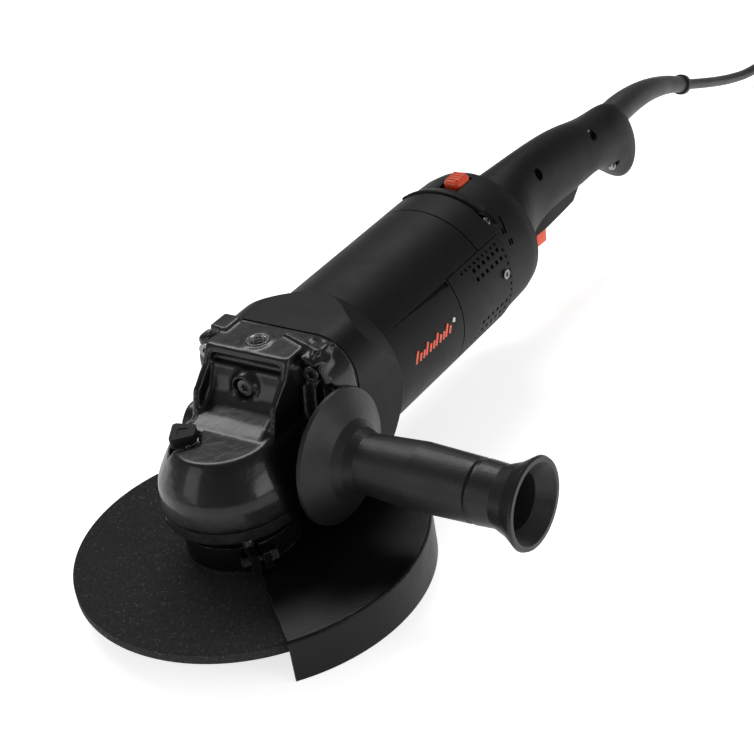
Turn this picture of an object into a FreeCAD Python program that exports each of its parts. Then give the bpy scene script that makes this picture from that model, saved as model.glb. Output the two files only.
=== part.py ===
"""Large angle grinder for a 180 mm disc, with a swivelling rear handle, a side handle and its mains lead.

Millimetres. The sub-parts are drawn with the crossing of the spindle and motor axes at (0, 0, 0):
+X runs back along the motor, +Y is the left side, +Z points up the spindle. save() lifts every
sub-part by AXIS_HEIGHT, so that the finished model's origin is the centre of the spindle's free end.
"""
import FreeCAD, Part
import math
import os

os.makedirs("parts", exist_ok=True)

V = FreeCAD.Vector
X = V(1, 0, 0)
Y = V(0, 1, 0)
Z = V(0, 0, 1)

# ---------------------------------------------------------------- driving dimensions
AXIS_HEIGHT = 65.5            # motor axis above the spindle's free end

RUN_FIT = 0.05                # radial clearance of a running or screwed fit
SLIDE_GAP = 0.3               # clearance between bodies that move past each other
BIG_GAP = 0.6                 # clearance round soft, moulded or loose things

DISC_R = 90.0
DISC_T = 6.0
DISC_BORE_R = 11.115
DISC_RIM_TOP = -50.5          # height of the disc's flat rim, below the motor axis
DISC_HUB_RISE = 4.0           # how far the depressed centre stands above the rim
DISC_HUB_R = 22.0
DISC_HUB_FOOT_R = 29.0

GUARD_R = 96.5
GUARD_T = 2.0
GUARD_TOP = -45.5
GUARD_SKIRT_BOTTOM = -69.3    # the level that the grinder stands on
GUARD_FROM_DEG = -131.0
GUARD_SPAN_DEG = 180.0

NECK_R = 27.0                 # round neck that the guard's collar clamps on
COLLAR_T = 3.0
COLLAR_HEIGHT = 12.0

FLANGE_R = 20.5               # clamping flange and flange nut
FLANGE_T = 8.0
NUT_T = 8.0

THREAD_R = 7.0                # M14 spindle nose
SPINDLE_R = 8.5               # lower bearing seat
SPINDLE_UPPER_R = 7.0
SPINDLE_TIP_R = 4.0           # upper bearing seat

GEAR_MODULE = 1.5
GEAR_TEETH = 37
PINION_TEETH = 11
TOOTH_FACE = 7.0
TOOTH_TOP = 1.0
TOOTH_FOOT = 1.45
TOOTH_SHARE = 0.40            # tooth thickness over tooth pitch
ROOT_SPARE = 0.5              # root cone beyond each end of the teeth
PRESSURE_DEG = 22.0
GEAR_BACK = -17.0
GEAR_WEB_TOP = -11.5
GEAR_HUB_TOP = -6.5
GEAR_HUB_R = 11.5
LOCK_HOLE_AT = 15.9           # radius of the ring of locking holes in the gear's web
LOCK_HOLES = 6
LOCK_PIN_R = 2.5
LOCK_DEG = 120.0              # where the lock pin stands, round the spindle from +X
LOCK_TRAVEL = 4.0
LOCK_COIL_R = 3.2             # mean radius of the lock's spring
LOCK_WIRE_R = 0.5
LOCK_SPRING_FROM = 5.5
LOCK_CAP_T = 5.0
LOCK_CAP = [(12.8, -4.8), (12.8, 4.8), (25.5, 8.3), (25.5, -8.3)]

HEAD_R = 37.0                 # round front of the gear housing
HEAD_BOTTOM = -20.0
HEAD_DECK = 14.0              # the nose's flat top
HEAD_TOP = 46.0               # the plate with the upper handle hole
HEAD_WALL = 6.0
HEAD_NOSE = [(-8.0, 37.0), (-4.0, 36.2), (0.0, 34.3), (5.0, 31.6), (10.0, 28.6), (13.2, 26.0), (14.0, 25.0)]
HEAD_ROOM = [(-8.0, 31.0), (0.0, 27.0), (4.0, 22.0)]
SADDLE = [(0, 8), (2, 14.5), (10, 17), (17, 20), (22, 25), (25, 31), (27.5, 37.5), (28, 44.5), (30, 46)]
SADDLE_HALF = 22.0
CHEEK = [(5, 8), (8, 13.5), (12.5, 27), (17, 31), (24, 37), (28.5, 44.5), (30, 46), (40, 46), (40, 8)]
CHEEK_T = 4.0
SHOULDER = [(33, 8), (36, 27), (40, 38), (46, 43), (58, 42), (58, 8)]
SHOULDER_HALF = 35.0

BODY_HALF = 43.7              # motor housing: radius, and half the width of its square front
BODY_CORNER_R = 21.0
BODY_WALL = 2.5
FLARE_R = 52.8
HOUSING_JOINT = 58.0          # joint face of the gear housing and the motor housing
GASKET_T = 0.8
FLARE_END = 80.0
FLARE_FADE = 95.0
MOTOR_END = 190.0
REAR_END = 248.0
REAR_END_R = 40.0
REAR_STEP = 211.0

CASE_SCREW_Y = 33.0
CASE_SCREW_Z = 35.0
CASE_SCREW_R = 2.5
CASE_SCREW_HEAD_R = 4.5
CASE_SCREW_HEAD_X = 36.0

SHAFT_NOSE_R = 4.0
SHAFT_BEARING_R = 6.0
SHAFT_R = 7.5
SHAFT_TAIL_R = 4.0
CORE_R = 25.0
CORE_FROM = 92.0
CORE_TO = 142.0
AIR_GAP = 0.8
FAN_R = 35.0
FAN_FROM = 61.0
FAN_TO = 73.0
FAN_BLADES = 12
COMMUTATOR_R = 15.0
COMMUTATOR_FROM = 162.0
COMMUTATOR_TO = 184.0

PANEL_FROM = 157.0            # side panels over the carbon brushes
PANEL_TO = 212.0
PANEL_HALF_DEG = 34.0
PANEL_T = 1.6

HANDLE_AXIS_X = 29.3          # side handle, screwed into the gear housing
HANDLE_AXIS_Z = -5.4
BOSS_FACE = 44.0
STUD_R = 5.0
SIDE_FLANGE_R = 35.6
SIDE_GRIP_R = 16.3
SIDE_END = 158.8
SIDE_END_R = 23.4

NECK_SWIVEL_R = 27.0          # round neck of the rear handle, turning in the rear housing
SWIVEL_RIM_R = 31.0
SWIVEL_RIM_FROM = 237.0
SWIVEL_RIM_TO = 241.0
HANDLE_WALL = 2.8
TRIGGER_HALF = 9.5
TRIGGER_PIVOT_X = 346.0
TRIGGER_PIVOT_Z = -13.0

CORD_R = 3.5
COIL_TURN_RADII = (28.0, 35.0, 42.0, 49.0)
COIL_LAYERS = 2
COIL_CENTRE = (712.0, -48.0)
FLOOR = GUARD_SKIRT_BOTTOM


# sizes that follow from the ones above, and those of the smaller parts
GROOVE_W = 0.8
DISC_HUB_TOP = DISC_RIM_TOP + DISC_HUB_RISE
FLANGE_TOP = DISC_HUB_TOP + FLANGE_T
NUT_TOP = DISC_HUB_TOP - DISC_T
NUT_BOTTOM = NUT_TOP - NUT_T
LOWER_BEARING_TOP = GEAR_BACK - 1.0
LOWER_BEARING_T = 12.0
LOWER_BEARING_R = 20.0
UPPER_BEARING_R = 11.0
UPPER_BEARING_FROM = 5.0
UPPER_BEARING_T = 7.0
RETAINER_T = 6.0
PLATE_R = 38.0                # bearing plate behind the pinion
PLATE_FROM = 49.0
PLATE_HUB_R = 19.5
PLATE_HUB_FROM = 35.0
FRONT_BEARING_FROM = 36.5
FRONT_BEARING_T = 10.0
FRONT_BEARING_R = 16.0
FRONT_SCREW_Z = 28.0
FRONT_SCREW_X = 23.0
PINION_ROOM_R = 12.5
TOP_HOLE_X = 39.7
STUD_INNER = 29.5
TOP_HOLE_DEPTH = 15.0
RETAINER_SCREW_R = 2.0
RETAINER_SCREW_AT = 33.6
SEAL_R = 14.0
CLAMP_DEG = -128.0
REAR_BEARING_FROM = 191.0
REAR_BEARING_T = 7.0
REAR_BEARING_R = 11.0
BRUSH_X = 173.0
BRUSH_HALF_X = 6.0
BRUSH_HALF_Z = 3.5
BRUSH_OUT = 30.0
BUTTON_FROM = 220.0
BUTTON_TO = 239.0
BUTTON_HALF = 6.5
BUTTON_TRAVEL = 4.0
PANEL_SCREW_X = 203.5
HANDLE_SECTIONS = (
    # x, half width, centre height, half height
    (250.0, 26.7, 0.0, 26.8),
    (266.0, 25.4, 0.4, 26.8),
    (288.0, 19.5, 2.5, 25.2),
    (314.0, 17.0, 3.0, 23.3),
    (350.0, 17.0, 0.0, 21.3),
    (381.0, 17.0, -4.5, 18.5),
    (400.0, 16.5, -10.5, 22.5),
    (413.0, 15.0, -16.5, 26.0),
    (424.0, 10.5, -22.5, 19.0),
)
RELIEF_Z = 0.0
RELIEF_STOP = 380.0
RELIEF_R = 9.5
HANDLE_SCREWS = ((296.0, 17.0), (366.0, 10.0), (394.0, -24.0))
HANDLE_SCREW_R = 1.8
HANDLE_HEAD_R = 3.2
TRIGGER_FROM = 262.0
TRIGGER_TO = 350.0
TAB_FROM = 266.0
TAB_TO = 280.0
TAB_HALF = 4.5
ROUTE_FROM = (516.0, 0.0, -22.5)
COIL_OUT = COIL_TURN_RADII[-1]
PLUG_HALF_HEIGHT = 13.0
LIE = FLOOR + CORD_R          # height of the cord's centre where it lies on the floor
ROUTE = (
    ROUTE_FROM,
    (546.0, -0.6, -34.5),
    (584.0, -0.4, -48.5),
    (622.0, 0.4, -60.0),
    (664.0, 1.4, LIE),
    (COIL_CENTRE[0], COIL_CENTRE[1] + COIL_OUT, LIE),
)
TAIL = (
    (COIL_CENTRE[0], COIL_CENTRE[1] - COIL_OUT, LIE + 2 * CORD_R),
    (COIL_CENTRE[0] - 34.0, COIL_CENTRE[1] - COIL_OUT - 0.8, LIE + 1.6 * CORD_R),
    (COIL_CENTRE[0] - 66.0, COIL_CENTRE[1] - COIL_OUT + 0.8, LIE + 1.8),
    (COIL_CENTRE[0] - 98.0, COIL_CENTRE[1] - COIL_OUT, FLOOR + PLUG_HALF_HEIGHT),
)
PLUG_BACK = COIL_CENTRE[0] - 98.0
PLUG_RELIEF = 22.0
PLUG_BODY = 40.0
PLUG_HALF_WIDTH = 17.5
PIN_R = 2.4
PIN_APART = 19.0
PIN_LENGTH = 19.0


# ---------------------------------------------------------------- shape helpers

def rod(axis, radius, start, end, centre=(0.0, 0.0)):
    """Cylinder along an axis. The centre is the pair of the two other coordinates, in XYZ order."""
    if axis == X:
        base = V(start, centre[0], centre[1])
    elif axis == Y:
        base = V(centre[0], start, centre[1])
    else:
        base = V(centre[0], centre[1], start)
    return Part.makeCylinder(radius, end - start, base, axis)


def tube(axis, outer, inner, start, end, centre=(0.0, 0.0)):
    return rod(axis, outer, start, end, centre).cut(rod(axis, inner, start - 1, end + 1, centre))


def block(x0, x1, y0, y1, z0, z1):
    return Part.makeBox(x1 - x0, y1 - y0, z1 - z0, V(x0, y0, z0))


def polygon_face(points):
    return Part.Face(Part.makePolygon(points + [points[0]]))


def turned(profile, axis, centre=(0.0, 0.0)):
    """Solid of revolution from (distance along the axis, radius) pairs."""
    if axis == X:
        points = [V(s, centre[0], centre[1] + r) for s, r in profile]
        base = V(0, centre[0], centre[1])
    elif axis == Y:
        points = [V(centre[0], s, centre[1] + r) for s, r in profile]
        base = V(centre[0], 0, centre[1])
    else:
        points = [V(centre[0] + r, centre[1], s) for s, r in profile]
        base = V(centre[0], centre[1], 0)
    return polygon_face(points).revolve(base, axis, 360)


def rounded_square(half, corner, x0, x1):
    """Square bar along X with rounded corners."""
    bar = block(x0, x1, -half, half, -half, half)
    along = [e for e in bar.Edges if abs(e.Length - (x1 - x0)) < 1e-6
             and abs(abs(e.CenterOfMass.y) - half) < 1e-6 and abs(abs(e.CenterOfMass.z) - half) < 1e-6]
    return bar.makeFillet(corner, along)


def join(shapes, merge_faces=True):
    result = shapes[0]
    for shape in shapes[1:]:
        result = result.fuse(shape)
    return result.removeSplitter() if merge_faces else result


def turned_copies(shape, axis, count, base=V(0, 0, 0)):
    copies = []
    for i in range(count):
        copy = shape.copy()
        copy.rotate(base, axis, 360.0 * i / count)
        copies.append(copy)
    return copies


def hex_bar(axis, across, start, end, centre=(0.0, 0.0)):
    corner = across / math.sqrt(3)
    points = []
    for i in range(6):
        u = corner * math.cos(math.radians(60 * i))
        v = corner * math.sin(math.radians(60 * i))
        if axis == X:
            points.append(V(start, centre[0] + u, centre[1] + v))
        elif axis == Y:
            points.append(V(centre[0] + u, start, centre[1] + v))
        else:
            points.append(V(centre[0] + u, centre[1] + v, start))
    return polygon_face(points).extrude(axis * (end - start))


def save(name, *solids):
    """Lift the node's solids to the model's frame and write them to one file."""
    shape = solids[0] if len(solids) == 1 else Part.makeCompound(list(solids))
    shape = shape.copy()
    shape.translate(V(0, 0, AXIS_HEIGHT))
    good = shape.isValid() and all(s.Volume > 0 for s in shape.Solids)
    state = "ok" if good else "BAD"
    print(f"{name:26s} solids {len(shape.Solids):3d}  volume {shape.Volume / 1000:9.3f} cm3  {state}")
    shape.exportStep(f"parts/{name}.step")


# ---------------------------------------------------------------- spindle group


def spindle():
    gear_seat = GEAR_HUB_TOP + 1.5
    body = turned([(-AXIS_HEIGHT, 0), (-AXIS_HEIGHT, THREAD_R), (NUT_BOTTOM - GROOVE_W, THREAD_R),
                   (NUT_BOTTOM - GROOVE_W, THREAD_R - 0.8), (NUT_BOTTOM, THREAD_R - 0.8),
                   (NUT_BOTTOM, THREAD_R), (FLANGE_TOP, THREAD_R), (FLANGE_TOP, SPINDLE_R),
                   (LOWER_BEARING_TOP + 0.5, SPINDLE_R), (LOWER_BEARING_TOP + 0.5, SPINDLE_UPPER_R),
                   (gear_seat, SPINDLE_UPPER_R), (gear_seat, SPINDLE_UPPER_R - 0.5),
                   (UPPER_BEARING_FROM, SPINDLE_UPPER_R - 0.5), (UPPER_BEARING_FROM, SPINDLE_TIP_R),
                   (UPPER_BEARING_FROM + UPPER_BEARING_T, SPINDLE_TIP_R),
                   (UPPER_BEARING_FROM + UPPER_BEARING_T, 0)], Z)
    return body


def cone_tooth(pitch_along, pitch_across, half_share, tip, foot):
    """One straight bevel tooth in the plane of its pitch line, tapering towards (0, 0, 0).

    pitch_along is the distance along the gear's axis and pitch_across the pitch radius, both at the
    outer end. The tooth is drawn on +X across with its axis along +Z, and tapers with the cone.
    """
    slant = math.hypot(pitch_along, pitch_across)
    out_r, out_z = abs(pitch_along) / slant, pitch_across / slant
    lean = math.tan(math.radians(PRESSURE_DEG))
    shape = []
    for height, grow in ((tip, -tip * lean), (-foot - 0.3, (foot + 0.3) * lean)):
        r = pitch_across + height * out_r
        z = -pitch_along + height * out_z
        shape.append((r, half_share + grow, z))
    (r1, w1, z1), (r2, w2, z2) = shape
    outer = [V(r1, w1, z1), V(r1, -w1, z1), V(r2, -w2, z2), V(r2, w2, z2)]
    scale = (slant - TOOTH_FACE) / slant
    inner = [p * scale for p in outer]
    wires = [Part.makePolygon(p + [p[0]]) for p in (outer, inner)]
    return Part.makeLoft(wires, True, True)


def gear_sizes():
    """Pitch radii of the ring gear and the pinion at the outer end of the teeth."""
    return GEAR_MODULE * GEAR_TEETH / 2, GEAR_MODULE * PINION_TEETH / 2


def bevel_gear():
    big, small = gear_sizes()
    slant = math.hypot(big, small)
    inner = (slant - TOOTH_FACE - ROOT_SPARE) / slant
    outer = (slant + ROOT_SPARE) / slant
    root_r = big - TOOTH_FOOT * small / slant
    root_z = -small - TOOTH_FOOT * big / slant
    blank = turned([(GEAR_BACK, SPINDLE_UPPER_R), (GEAR_BACK, root_r - 4), (GEAR_BACK + 4, root_r * outer),
                    (root_z * outer, root_r * outer), (root_z * inner, root_r * inner),
                    (GEAR_WEB_TOP, root_r * inner - 0.4), (GEAR_WEB_TOP, GEAR_HUB_R),
                    (GEAR_HUB_TOP, GEAR_HUB_R), (GEAR_HUB_TOP, SPINDLE_UPPER_R)], Z)
    pitch = 2 * math.pi * big / GEAR_TEETH
    tooth = cone_tooth(small, big, pitch * TOOTH_SHARE / 2, TOOTH_TOP, TOOTH_FOOT)
    blank = blank.fuse(turned_copies(tooth, Z, GEAR_TEETH))
    hole = rod(Z, LOCK_PIN_R + 0.4, GEAR_BACK - 1, GEAR_WEB_TOP + 1, (-LOCK_HOLE_AT, 0))
    return blank.cut(Part.makeCompound(turned_copies(hole, Z, LOCK_HOLES)))


def pinion_gear():
    """Drawn on the Z axis like the ring gear, then laid along +X with a tooth gap facing down."""
    big, small = gear_sizes()
    slant = math.hypot(big, small)
    inner = (slant - TOOTH_FACE - ROOT_SPARE) / slant
    outer = (slant + ROOT_SPARE) / slant
    root_r = small - TOOTH_FOOT * big / slant
    root_z = -big - TOOTH_FOOT * small / slant
    blank = turned([(root_z * inner, SHAFT_NOSE_R), (root_z * inner, root_r * inner),
                    (root_z * outer, root_r * outer), (root_z * outer, small),
                    (root_z - 5, small), (root_z - 5, SHAFT_NOSE_R)], Z)
    pitch = 2 * math.pi * small / PINION_TEETH
    tooth = cone_tooth(big, small, pitch * TOOTH_SHARE / 2, TOOTH_TOP, TOOTH_FOOT)
    blank = blank.fuse(turned_copies(tooth, Z, PINION_TEETH))
    blank.rotate(V(0, 0, 0), Y, -90)
    blank.rotate(V(0, 0, 0), X, tooth_gap_turn())
    return blank


def tooth_gap_turn():
    """After the turn about Y the first tooth points up, and an odd number of teeth leaves a gap below."""
    return 0.0 if PINION_TEETH % 2 else 180.0 / PINION_TEETH


def inner_flange():
    disc = rod(Z, FLANGE_R, DISC_HUB_TOP, FLANGE_TOP)
    relief = tube(Z, FLANGE_R - 4, DISC_BORE_R, DISC_HUB_TOP, DISC_HUB_TOP + 1.0)
    spigot = rod(Z, DISC_BORE_R - 0.1, DISC_HUB_TOP - 4.0, FLANGE_TOP)
    return join([disc.cut(relief), spigot]).cut(rod(Z, THREAD_R + RUN_FIT, NUT_BOTTOM, FLANGE_TOP + 1))


def flange_nut():
    nut = turned([(NUT_TOP, THREAD_R + RUN_FIT), (NUT_TOP, FLANGE_R), (NUT_TOP - 3.5, FLANGE_R),
                  (NUT_BOTTOM, FLANGE_R - 5), (NUT_BOTTOM, THREAD_R + RUN_FIT)], Z)
    hole = rod(Z, 2.5, NUT_BOTTOM - 1, NUT_TOP - 2, (15.0, 0))
    return nut.cut(Part.makeCompound(turned_copies(hole, Z, 4)))


def grinding_disc():
    top, under = DISC_HUB_TOP, DISC_HUB_TOP - DISC_T
    rim, rim_under = DISC_RIM_TOP, DISC_RIM_TOP - DISC_T
    return turned([(top, DISC_BORE_R), (top, DISC_HUB_R), (rim, DISC_HUB_FOOT_R), (rim, DISC_R - 0.6),
                   (rim - 0.6, DISC_R), (rim_under + 0.6, DISC_R), (rim_under, DISC_R - 0.6),
                   (rim_under, DISC_HUB_FOOT_R), (under, DISC_HUB_R), (under, DISC_BORE_R)], Z)


def bearing(axis, inner, outer, start, length, balls, centre=(0.0, 0.0)):
    """Deep-groove ball bearing: outer ring with its two shields, inner ring and balls."""
    middle = (inner + outer) / 2
    ball_r = (outer - inner) * 0.27
    half = length / 2
    ring_out = tube(axis, outer, middle + ball_r * 0.75, start, start + length, centre)
    ring_in = tube(axis, middle - ball_r * 0.75, inner, start, start + length, centre)
    groove = Part.makeTorus(middle, ball_r + 0.05, V(0, 0, 0), axis)
    groove.translate(axis_point(axis, start + half, centre))
    shields = []
    for edge in (start + 0.3, start + length - 0.9):
        shields.append(tube(axis, middle + ball_r * 0.8, middle - ball_r * 0.75 + 0.1,
                            edge, edge + 0.6, centre))
    ball = Part.makeSphere(ball_r, axis_point(axis, start + half, centre) + across(axis) * middle)
    ring_balls = turned_copies(ball, axis, balls, axis_point(axis, start + half, centre))
    return [join([ring_out.cut(groove)] + shields), ring_in.cut(groove)] + ring_balls


def axis_point(axis, along, centre):
    if axis == X:
        return V(along, centre[0], centre[1])
    if axis == Y:
        return V(centre[0], along, centre[1])
    return V(centre[0], centre[1], along)


def across(axis):
    return X if axis == Z else Z


# ---------------------------------------------------------------- gear housing


def prism_y(points, half):
    """Extrude an (x, z) outline by half on each side of the middle plane."""
    face = polygon_face([V(x, -half, z) for x, z in points])
    return face.extrude(V(0, 2 * half, 0))


def prism_z(points, z0, z1):
    return polygon_face([V(x, y, z0) for x, y in points]).extrude(V(0, 0, z1 - z0))


def prism_x(points, x0, x1):
    return polygon_face([V(x0, y, z) for y, z in points]).extrude(V(x1 - x0, 0, 0))


def gear_housing_outside():
    nose = turned([(HEAD_BOTTOM, 0), (HEAD_BOTTOM, HEAD_R)] + HEAD_NOSE + [(HEAD_DECK, 0)], Z)
    back = rounded_square(BODY_HALF, BODY_CORNER_R, CASE_SCREW_HEAD_X + 4, HOUSING_JOINT)
    side = [(r, z) for z, r in HEAD_NOSE]
    section = [(-HEAD_R, HEAD_BOTTOM)] + [(-y, z) for y, z in side] + side[::-1] + [(HEAD_R, HEAD_BOTTOM)]
    waist = prism_x(section, 0, CASE_SCREW_HEAD_X + 6)
    rear_low = prism_y([(HEAD_R + 1, HEAD_BOTTOM), (44, HEAD_BOTTOM - 5), (50, -BODY_HALF),
                        (HOUSING_JOINT, -BODY_HALF), (HOUSING_JOINT, HEAD_BOTTOM + 8),
                        (HEAD_R + 1, HEAD_BOTTOM + 8)], BODY_HALF - 14)
    behind = [(50, HEAD_TOP), (HOUSING_JOINT, HEAD_TOP - 2.2), (HOUSING_JOINT, SADDLE[0][1])]
    saddle = prism_y(SADDLE + behind, SADDLE_HALF)
    cheek = prism_y(CHEEK, CHEEK_T / 2)
    cheeks = [cheek.translated(V(0, side_y, 0)) for side_y in
              (-SADDLE_HALF - CHEEK_T / 2, SADDLE_HALF + CHEEK_T / 2)]
    top = block(30, HOUSING_JOINT - 4, -SADDLE_HALF - CHEEK_T, SADDLE_HALF + CHEEK_T, HEAD_DECK, HEAD_TOP)
    shoulders = prism_y(SHOULDER, SHOULDER_HALF)
    lugs = [block(42, 56, 22, 33, HEAD_TOP - 8, HEAD_TOP + 1.5),
            block(40, 52, -36, -26, HEAD_TOP - 12, HEAD_TOP - 1)]
    bosses = rod(Y, 13.0, -BOSS_FACE, BOSS_FACE, (HANDLE_AXIS_X, HANDLE_AXIS_Z))
    lip_slot = block(24, 31, -SADDLE_HALF, SADDLE_HALF, 37, 41)
    return join([nose, back, waist, rear_low, saddle, top, shoulders, bosses] + cheeks + lugs).cut(lip_slot)


def gear_housing():
    """Gear chamber, pinion tunnel and the seats of the bearings and the bearing plate, then the holes."""
    room = turned([(HEAD_BOTTOM - 1, 0), (HEAD_BOTTOM - 1, HEAD_R - HEAD_WALL)] + HEAD_ROOM +
                  [(HEAD_ROOM[-1][0], 0)], Z)
    cap_room = prism_z([(x - 0.5 if x < 20 else x + 0.5, y * 1.08) for x, y in LOCK_CAP],
                       HEAD_DECK - LOCK_TRAVEL - 0.4, HEAD_DECK + 20)
    cap_room.rotate(V(0, 0, 0), Z, LOCK_DEG)
    hollow = [room, cap_room, rod(X, PINION_ROOM_R, 0, PLATE_HUB_FROM),
              rod(X, PLATE_HUB_R + RUN_FIT, PLATE_HUB_FROM - 0.5, HOUSING_JOINT + 1),
              rod(X, PLATE_R + RUN_FIT, PLATE_FROM, HOUSING_JOINT + 1),
              rod(Z, UPPER_BEARING_R + RUN_FIT, 0, UPPER_BEARING_FROM + UPPER_BEARING_T),
              rod(Z, LOCK_PIN_R + SLIDE_GAP, 0, HEAD_DECK, lock_place()),
              rod(Z, LOCK_COIL_R + LOCK_WIRE_R + BIG_GAP, LOCK_SPRING_FROM, HEAD_DECK, lock_place())]
    bores = []
    for y, z in corner_screws():
        bores.append(rod(X, CASE_SCREW_R + RUN_FIT, 0, HOUSING_JOINT + 1, (y, z)))
        bores.append(rod(X, CASE_SCREW_HEAD_R + 1.0, -5, CASE_SCREW_HEAD_X + 4, (y, z)))
    bores.append(rod(X, CASE_SCREW_R + RUN_FIT, 10, PLATE_FROM + 1, (0, FRONT_SCREW_Z)))
    bores.append(rod(X, CASE_SCREW_HEAD_R + 1.0, -5, FRONT_SCREW_X + 4, (0, FRONT_SCREW_Z)))
    for x, y in retainer_screw_places():
        bores.append(rod(Z, RETAINER_SCREW_R + RUN_FIT, HEAD_BOTTOM - 1, HEAD_BOTTOM + 12, (x, y)))
    for start, end in ((-BOSS_FACE - 1, -STUD_INNER), (STUD_INNER, BOSS_FACE + 1)):
        bores.append(rod(Y, STUD_R + RUN_FIT, start, end, (HANDLE_AXIS_X, HANDLE_AXIS_Z)))
    bores.append(rod(Z, STUD_R + RUN_FIT, HEAD_TOP - TOP_HOLE_DEPTH, HEAD_TOP + 1, (TOP_HOLE_X, 0)))
    return gear_housing_outside().cut(Part.makeCompound(hollow)).cut(Part.makeCompound(bores))


def corner_screws():
    return [(y, z) for y in (-CASE_SCREW_Y, CASE_SCREW_Y) for z in (-CASE_SCREW_Z, CASE_SCREW_Z)]


def retainer_screw_places():
    return [(RETAINER_SCREW_AT * math.cos(math.radians(a)), RETAINER_SCREW_AT * math.sin(math.radians(a)))
            for a in (45, 135, 225, 315)]


def bearing_retainer():
    top = HEAD_BOTTOM
    flange = rod(Z, HEAD_R - 0.6, top - RETAINER_T, top)
    spigot = tube(Z, HEAD_R - HEAD_WALL - RUN_FIT, LOWER_BEARING_R + RUN_FIT, top, LOWER_BEARING_TOP + 0.5)
    neck = rod(Z, NECK_R, GUARD_TOP + 0.5, top)
    body = join([flange, neck, spigot])
    pocket = rod(Z, LOWER_BEARING_R + RUN_FIT, LOWER_BEARING_TOP - LOWER_BEARING_T, top + 5)
    way = join([rod(Z, SPINDLE_R + BIG_GAP, FLANGE_TOP - 1, top),
                rod(Z, FLANGE_R + 2.0, GUARD_TOP - 1, FLANGE_TOP + 1.0)])
    seal = rod(Z, SEAL_R + RUN_FIT, FLANGE_TOP, LOWER_BEARING_TOP - LOWER_BEARING_T - 2.5)
    body = body.cut(Part.makeCompound([pocket, way, seal]))
    for x, y in retainer_screw_places():
        body = body.cut(rod(Z, RETAINER_SCREW_R + RUN_FIT, top - RETAINER_T - 1, top + 5, (x, y)))
    return body


def shaft_seal():
    top = LOWER_BEARING_TOP - LOWER_BEARING_T - 2.5
    return tube(Z, SEAL_R, SPINDLE_R + 0.1, FLANGE_TOP + 1.2, top)


def retainer_screws():
    screws = []
    for x, y in retainer_screw_places():
        under = HEAD_BOTTOM - RETAINER_T
        head = rod(Z, 3.4, under - 2.6, under, (x, y))
        socket = hex_bar(Z, 3.0, under - 3, under - 1.2, (x, y))
        screws.append(join([head, rod(Z, RETAINER_SCREW_R, under, HEAD_BOTTOM + 11, (x, y))]).cut(socket))
    return screws


def bearing_plate():
    plate = rod(X, PLATE_R, PLATE_FROM, HOUSING_JOINT - 0.5)
    hub = rod(X, PLATE_HUB_R, PLATE_HUB_FROM, HOUSING_JOINT - 0.5)
    body = join([plate, hub])
    cuts = [rod(X, FRONT_BEARING_R + RUN_FIT, PLATE_HUB_FROM - 1, FRONT_BEARING_FROM + FRONT_BEARING_T),
            rod(X, SHAFT_R + 1.5, PLATE_HUB_FROM, HOUSING_JOINT + 1),
            tube(X, PLATE_R - 4, PLATE_HUB_R + 5.5, PLATE_FROM + 5, HOUSING_JOINT + 1),
            rod(X, CASE_SCREW_R + RUN_FIT, PLATE_FROM - 1, HOUSING_JOINT + 1, (0, FRONT_SCREW_Z))]
    return body.cut(Part.makeCompound(cuts))


def screw(axis, radius, head_r, head_from, head_to, tip, centre, slot=True):
    """Pan-head screw along an axis: the head's outer face is at head_from."""
    body = join([rod(axis, head_r, min(head_from, head_to), max(head_from, head_to), centre),
                 rod(axis, radius, min(head_to, tip), max(head_to, tip), centre)])
    if slot:
        sink = (head_to - head_from) * 0.55
        low, high = sorted((head_from - sink * 0.2, head_from + sink))
        body = body.cut(hex_bar(axis, head_r * 0.9, low, high, centre))
    return body


def case_screws():
    out = [screw(X, CASE_SCREW_R, CASE_SCREW_HEAD_R, CASE_SCREW_HEAD_X, CASE_SCREW_HEAD_X + 4,
                 FLARE_END - 3, place) for place in corner_screws()]
    out.append(screw(X, CASE_SCREW_R, CASE_SCREW_HEAD_R, FRONT_SCREW_X, FRONT_SCREW_X + 4,
                     HOUSING_JOINT - 1.5, (0, FRONT_SCREW_Z)))
    return out


def housing_gasket():
    x0, x1 = HOUSING_JOINT, HOUSING_JOINT + GASKET_T
    ring = rounded_square(BODY_HALF - 0.8, BODY_CORNER_R - 0.8, x0, x1)
    ring = ring.cut(rod(X, PLATE_R + 1.5, x0 - 1, x1 + 1))
    for place in corner_screws():
        ring = ring.cut(rod(X, CASE_SCREW_R + RUN_FIT, x0 - 1, x1 + 1, place))
    return ring


# ---------------------------------------------------------------- spindle lock
def lock_place():
    turn = math.radians(LOCK_DEG)
    return LOCK_HOLE_AT * math.cos(turn), LOCK_HOLE_AT * math.sin(turn)


def lock_button():
    """Push cap over the lock pin, in a pocket of the nose. It is drawn on +X, then turned to its place."""
    top = HEAD_DECK + LOCK_CAP_T
    cap = prism_z(LOCK_CAP, HEAD_DECK - 0.1, top)
    cap = cap.makeFillet(2.0, [e for e in cap.Edges if e.BoundBox.ZLength > 1])
    mark = block(17, 22, -2.5, 2.5, top - 0.5, top + 1)
    cap = cap.cut(mark)
    cap.rotate(V(0, 0, 0), Z, LOCK_DEG)
    return cap.cut(rod(Z, LOCK_PIN_R, 0, top - 2, lock_place()))


def lock_pin():
    return rod(Z, LOCK_PIN_R, GEAR_WEB_TOP + 1.0, HEAD_DECK + LOCK_CAP_T - 2, lock_place())


def coil_spring(wire_r, coil_r, start, end, turns, centre):
    """Compression spring along Z, as a helix of round wire."""
    length = end - start - 2 * wire_r
    helix = Part.makeHelix(length / turns, length, coil_r)
    section = Part.Wire(Part.makeCircle(wire_r, V(coil_r, 0, 0), Y))
    body = Part.Wire(helix).makePipeShell([section], True, True)
    body.translate(V(centre[0], centre[1], start + wire_r))
    return body


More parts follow.
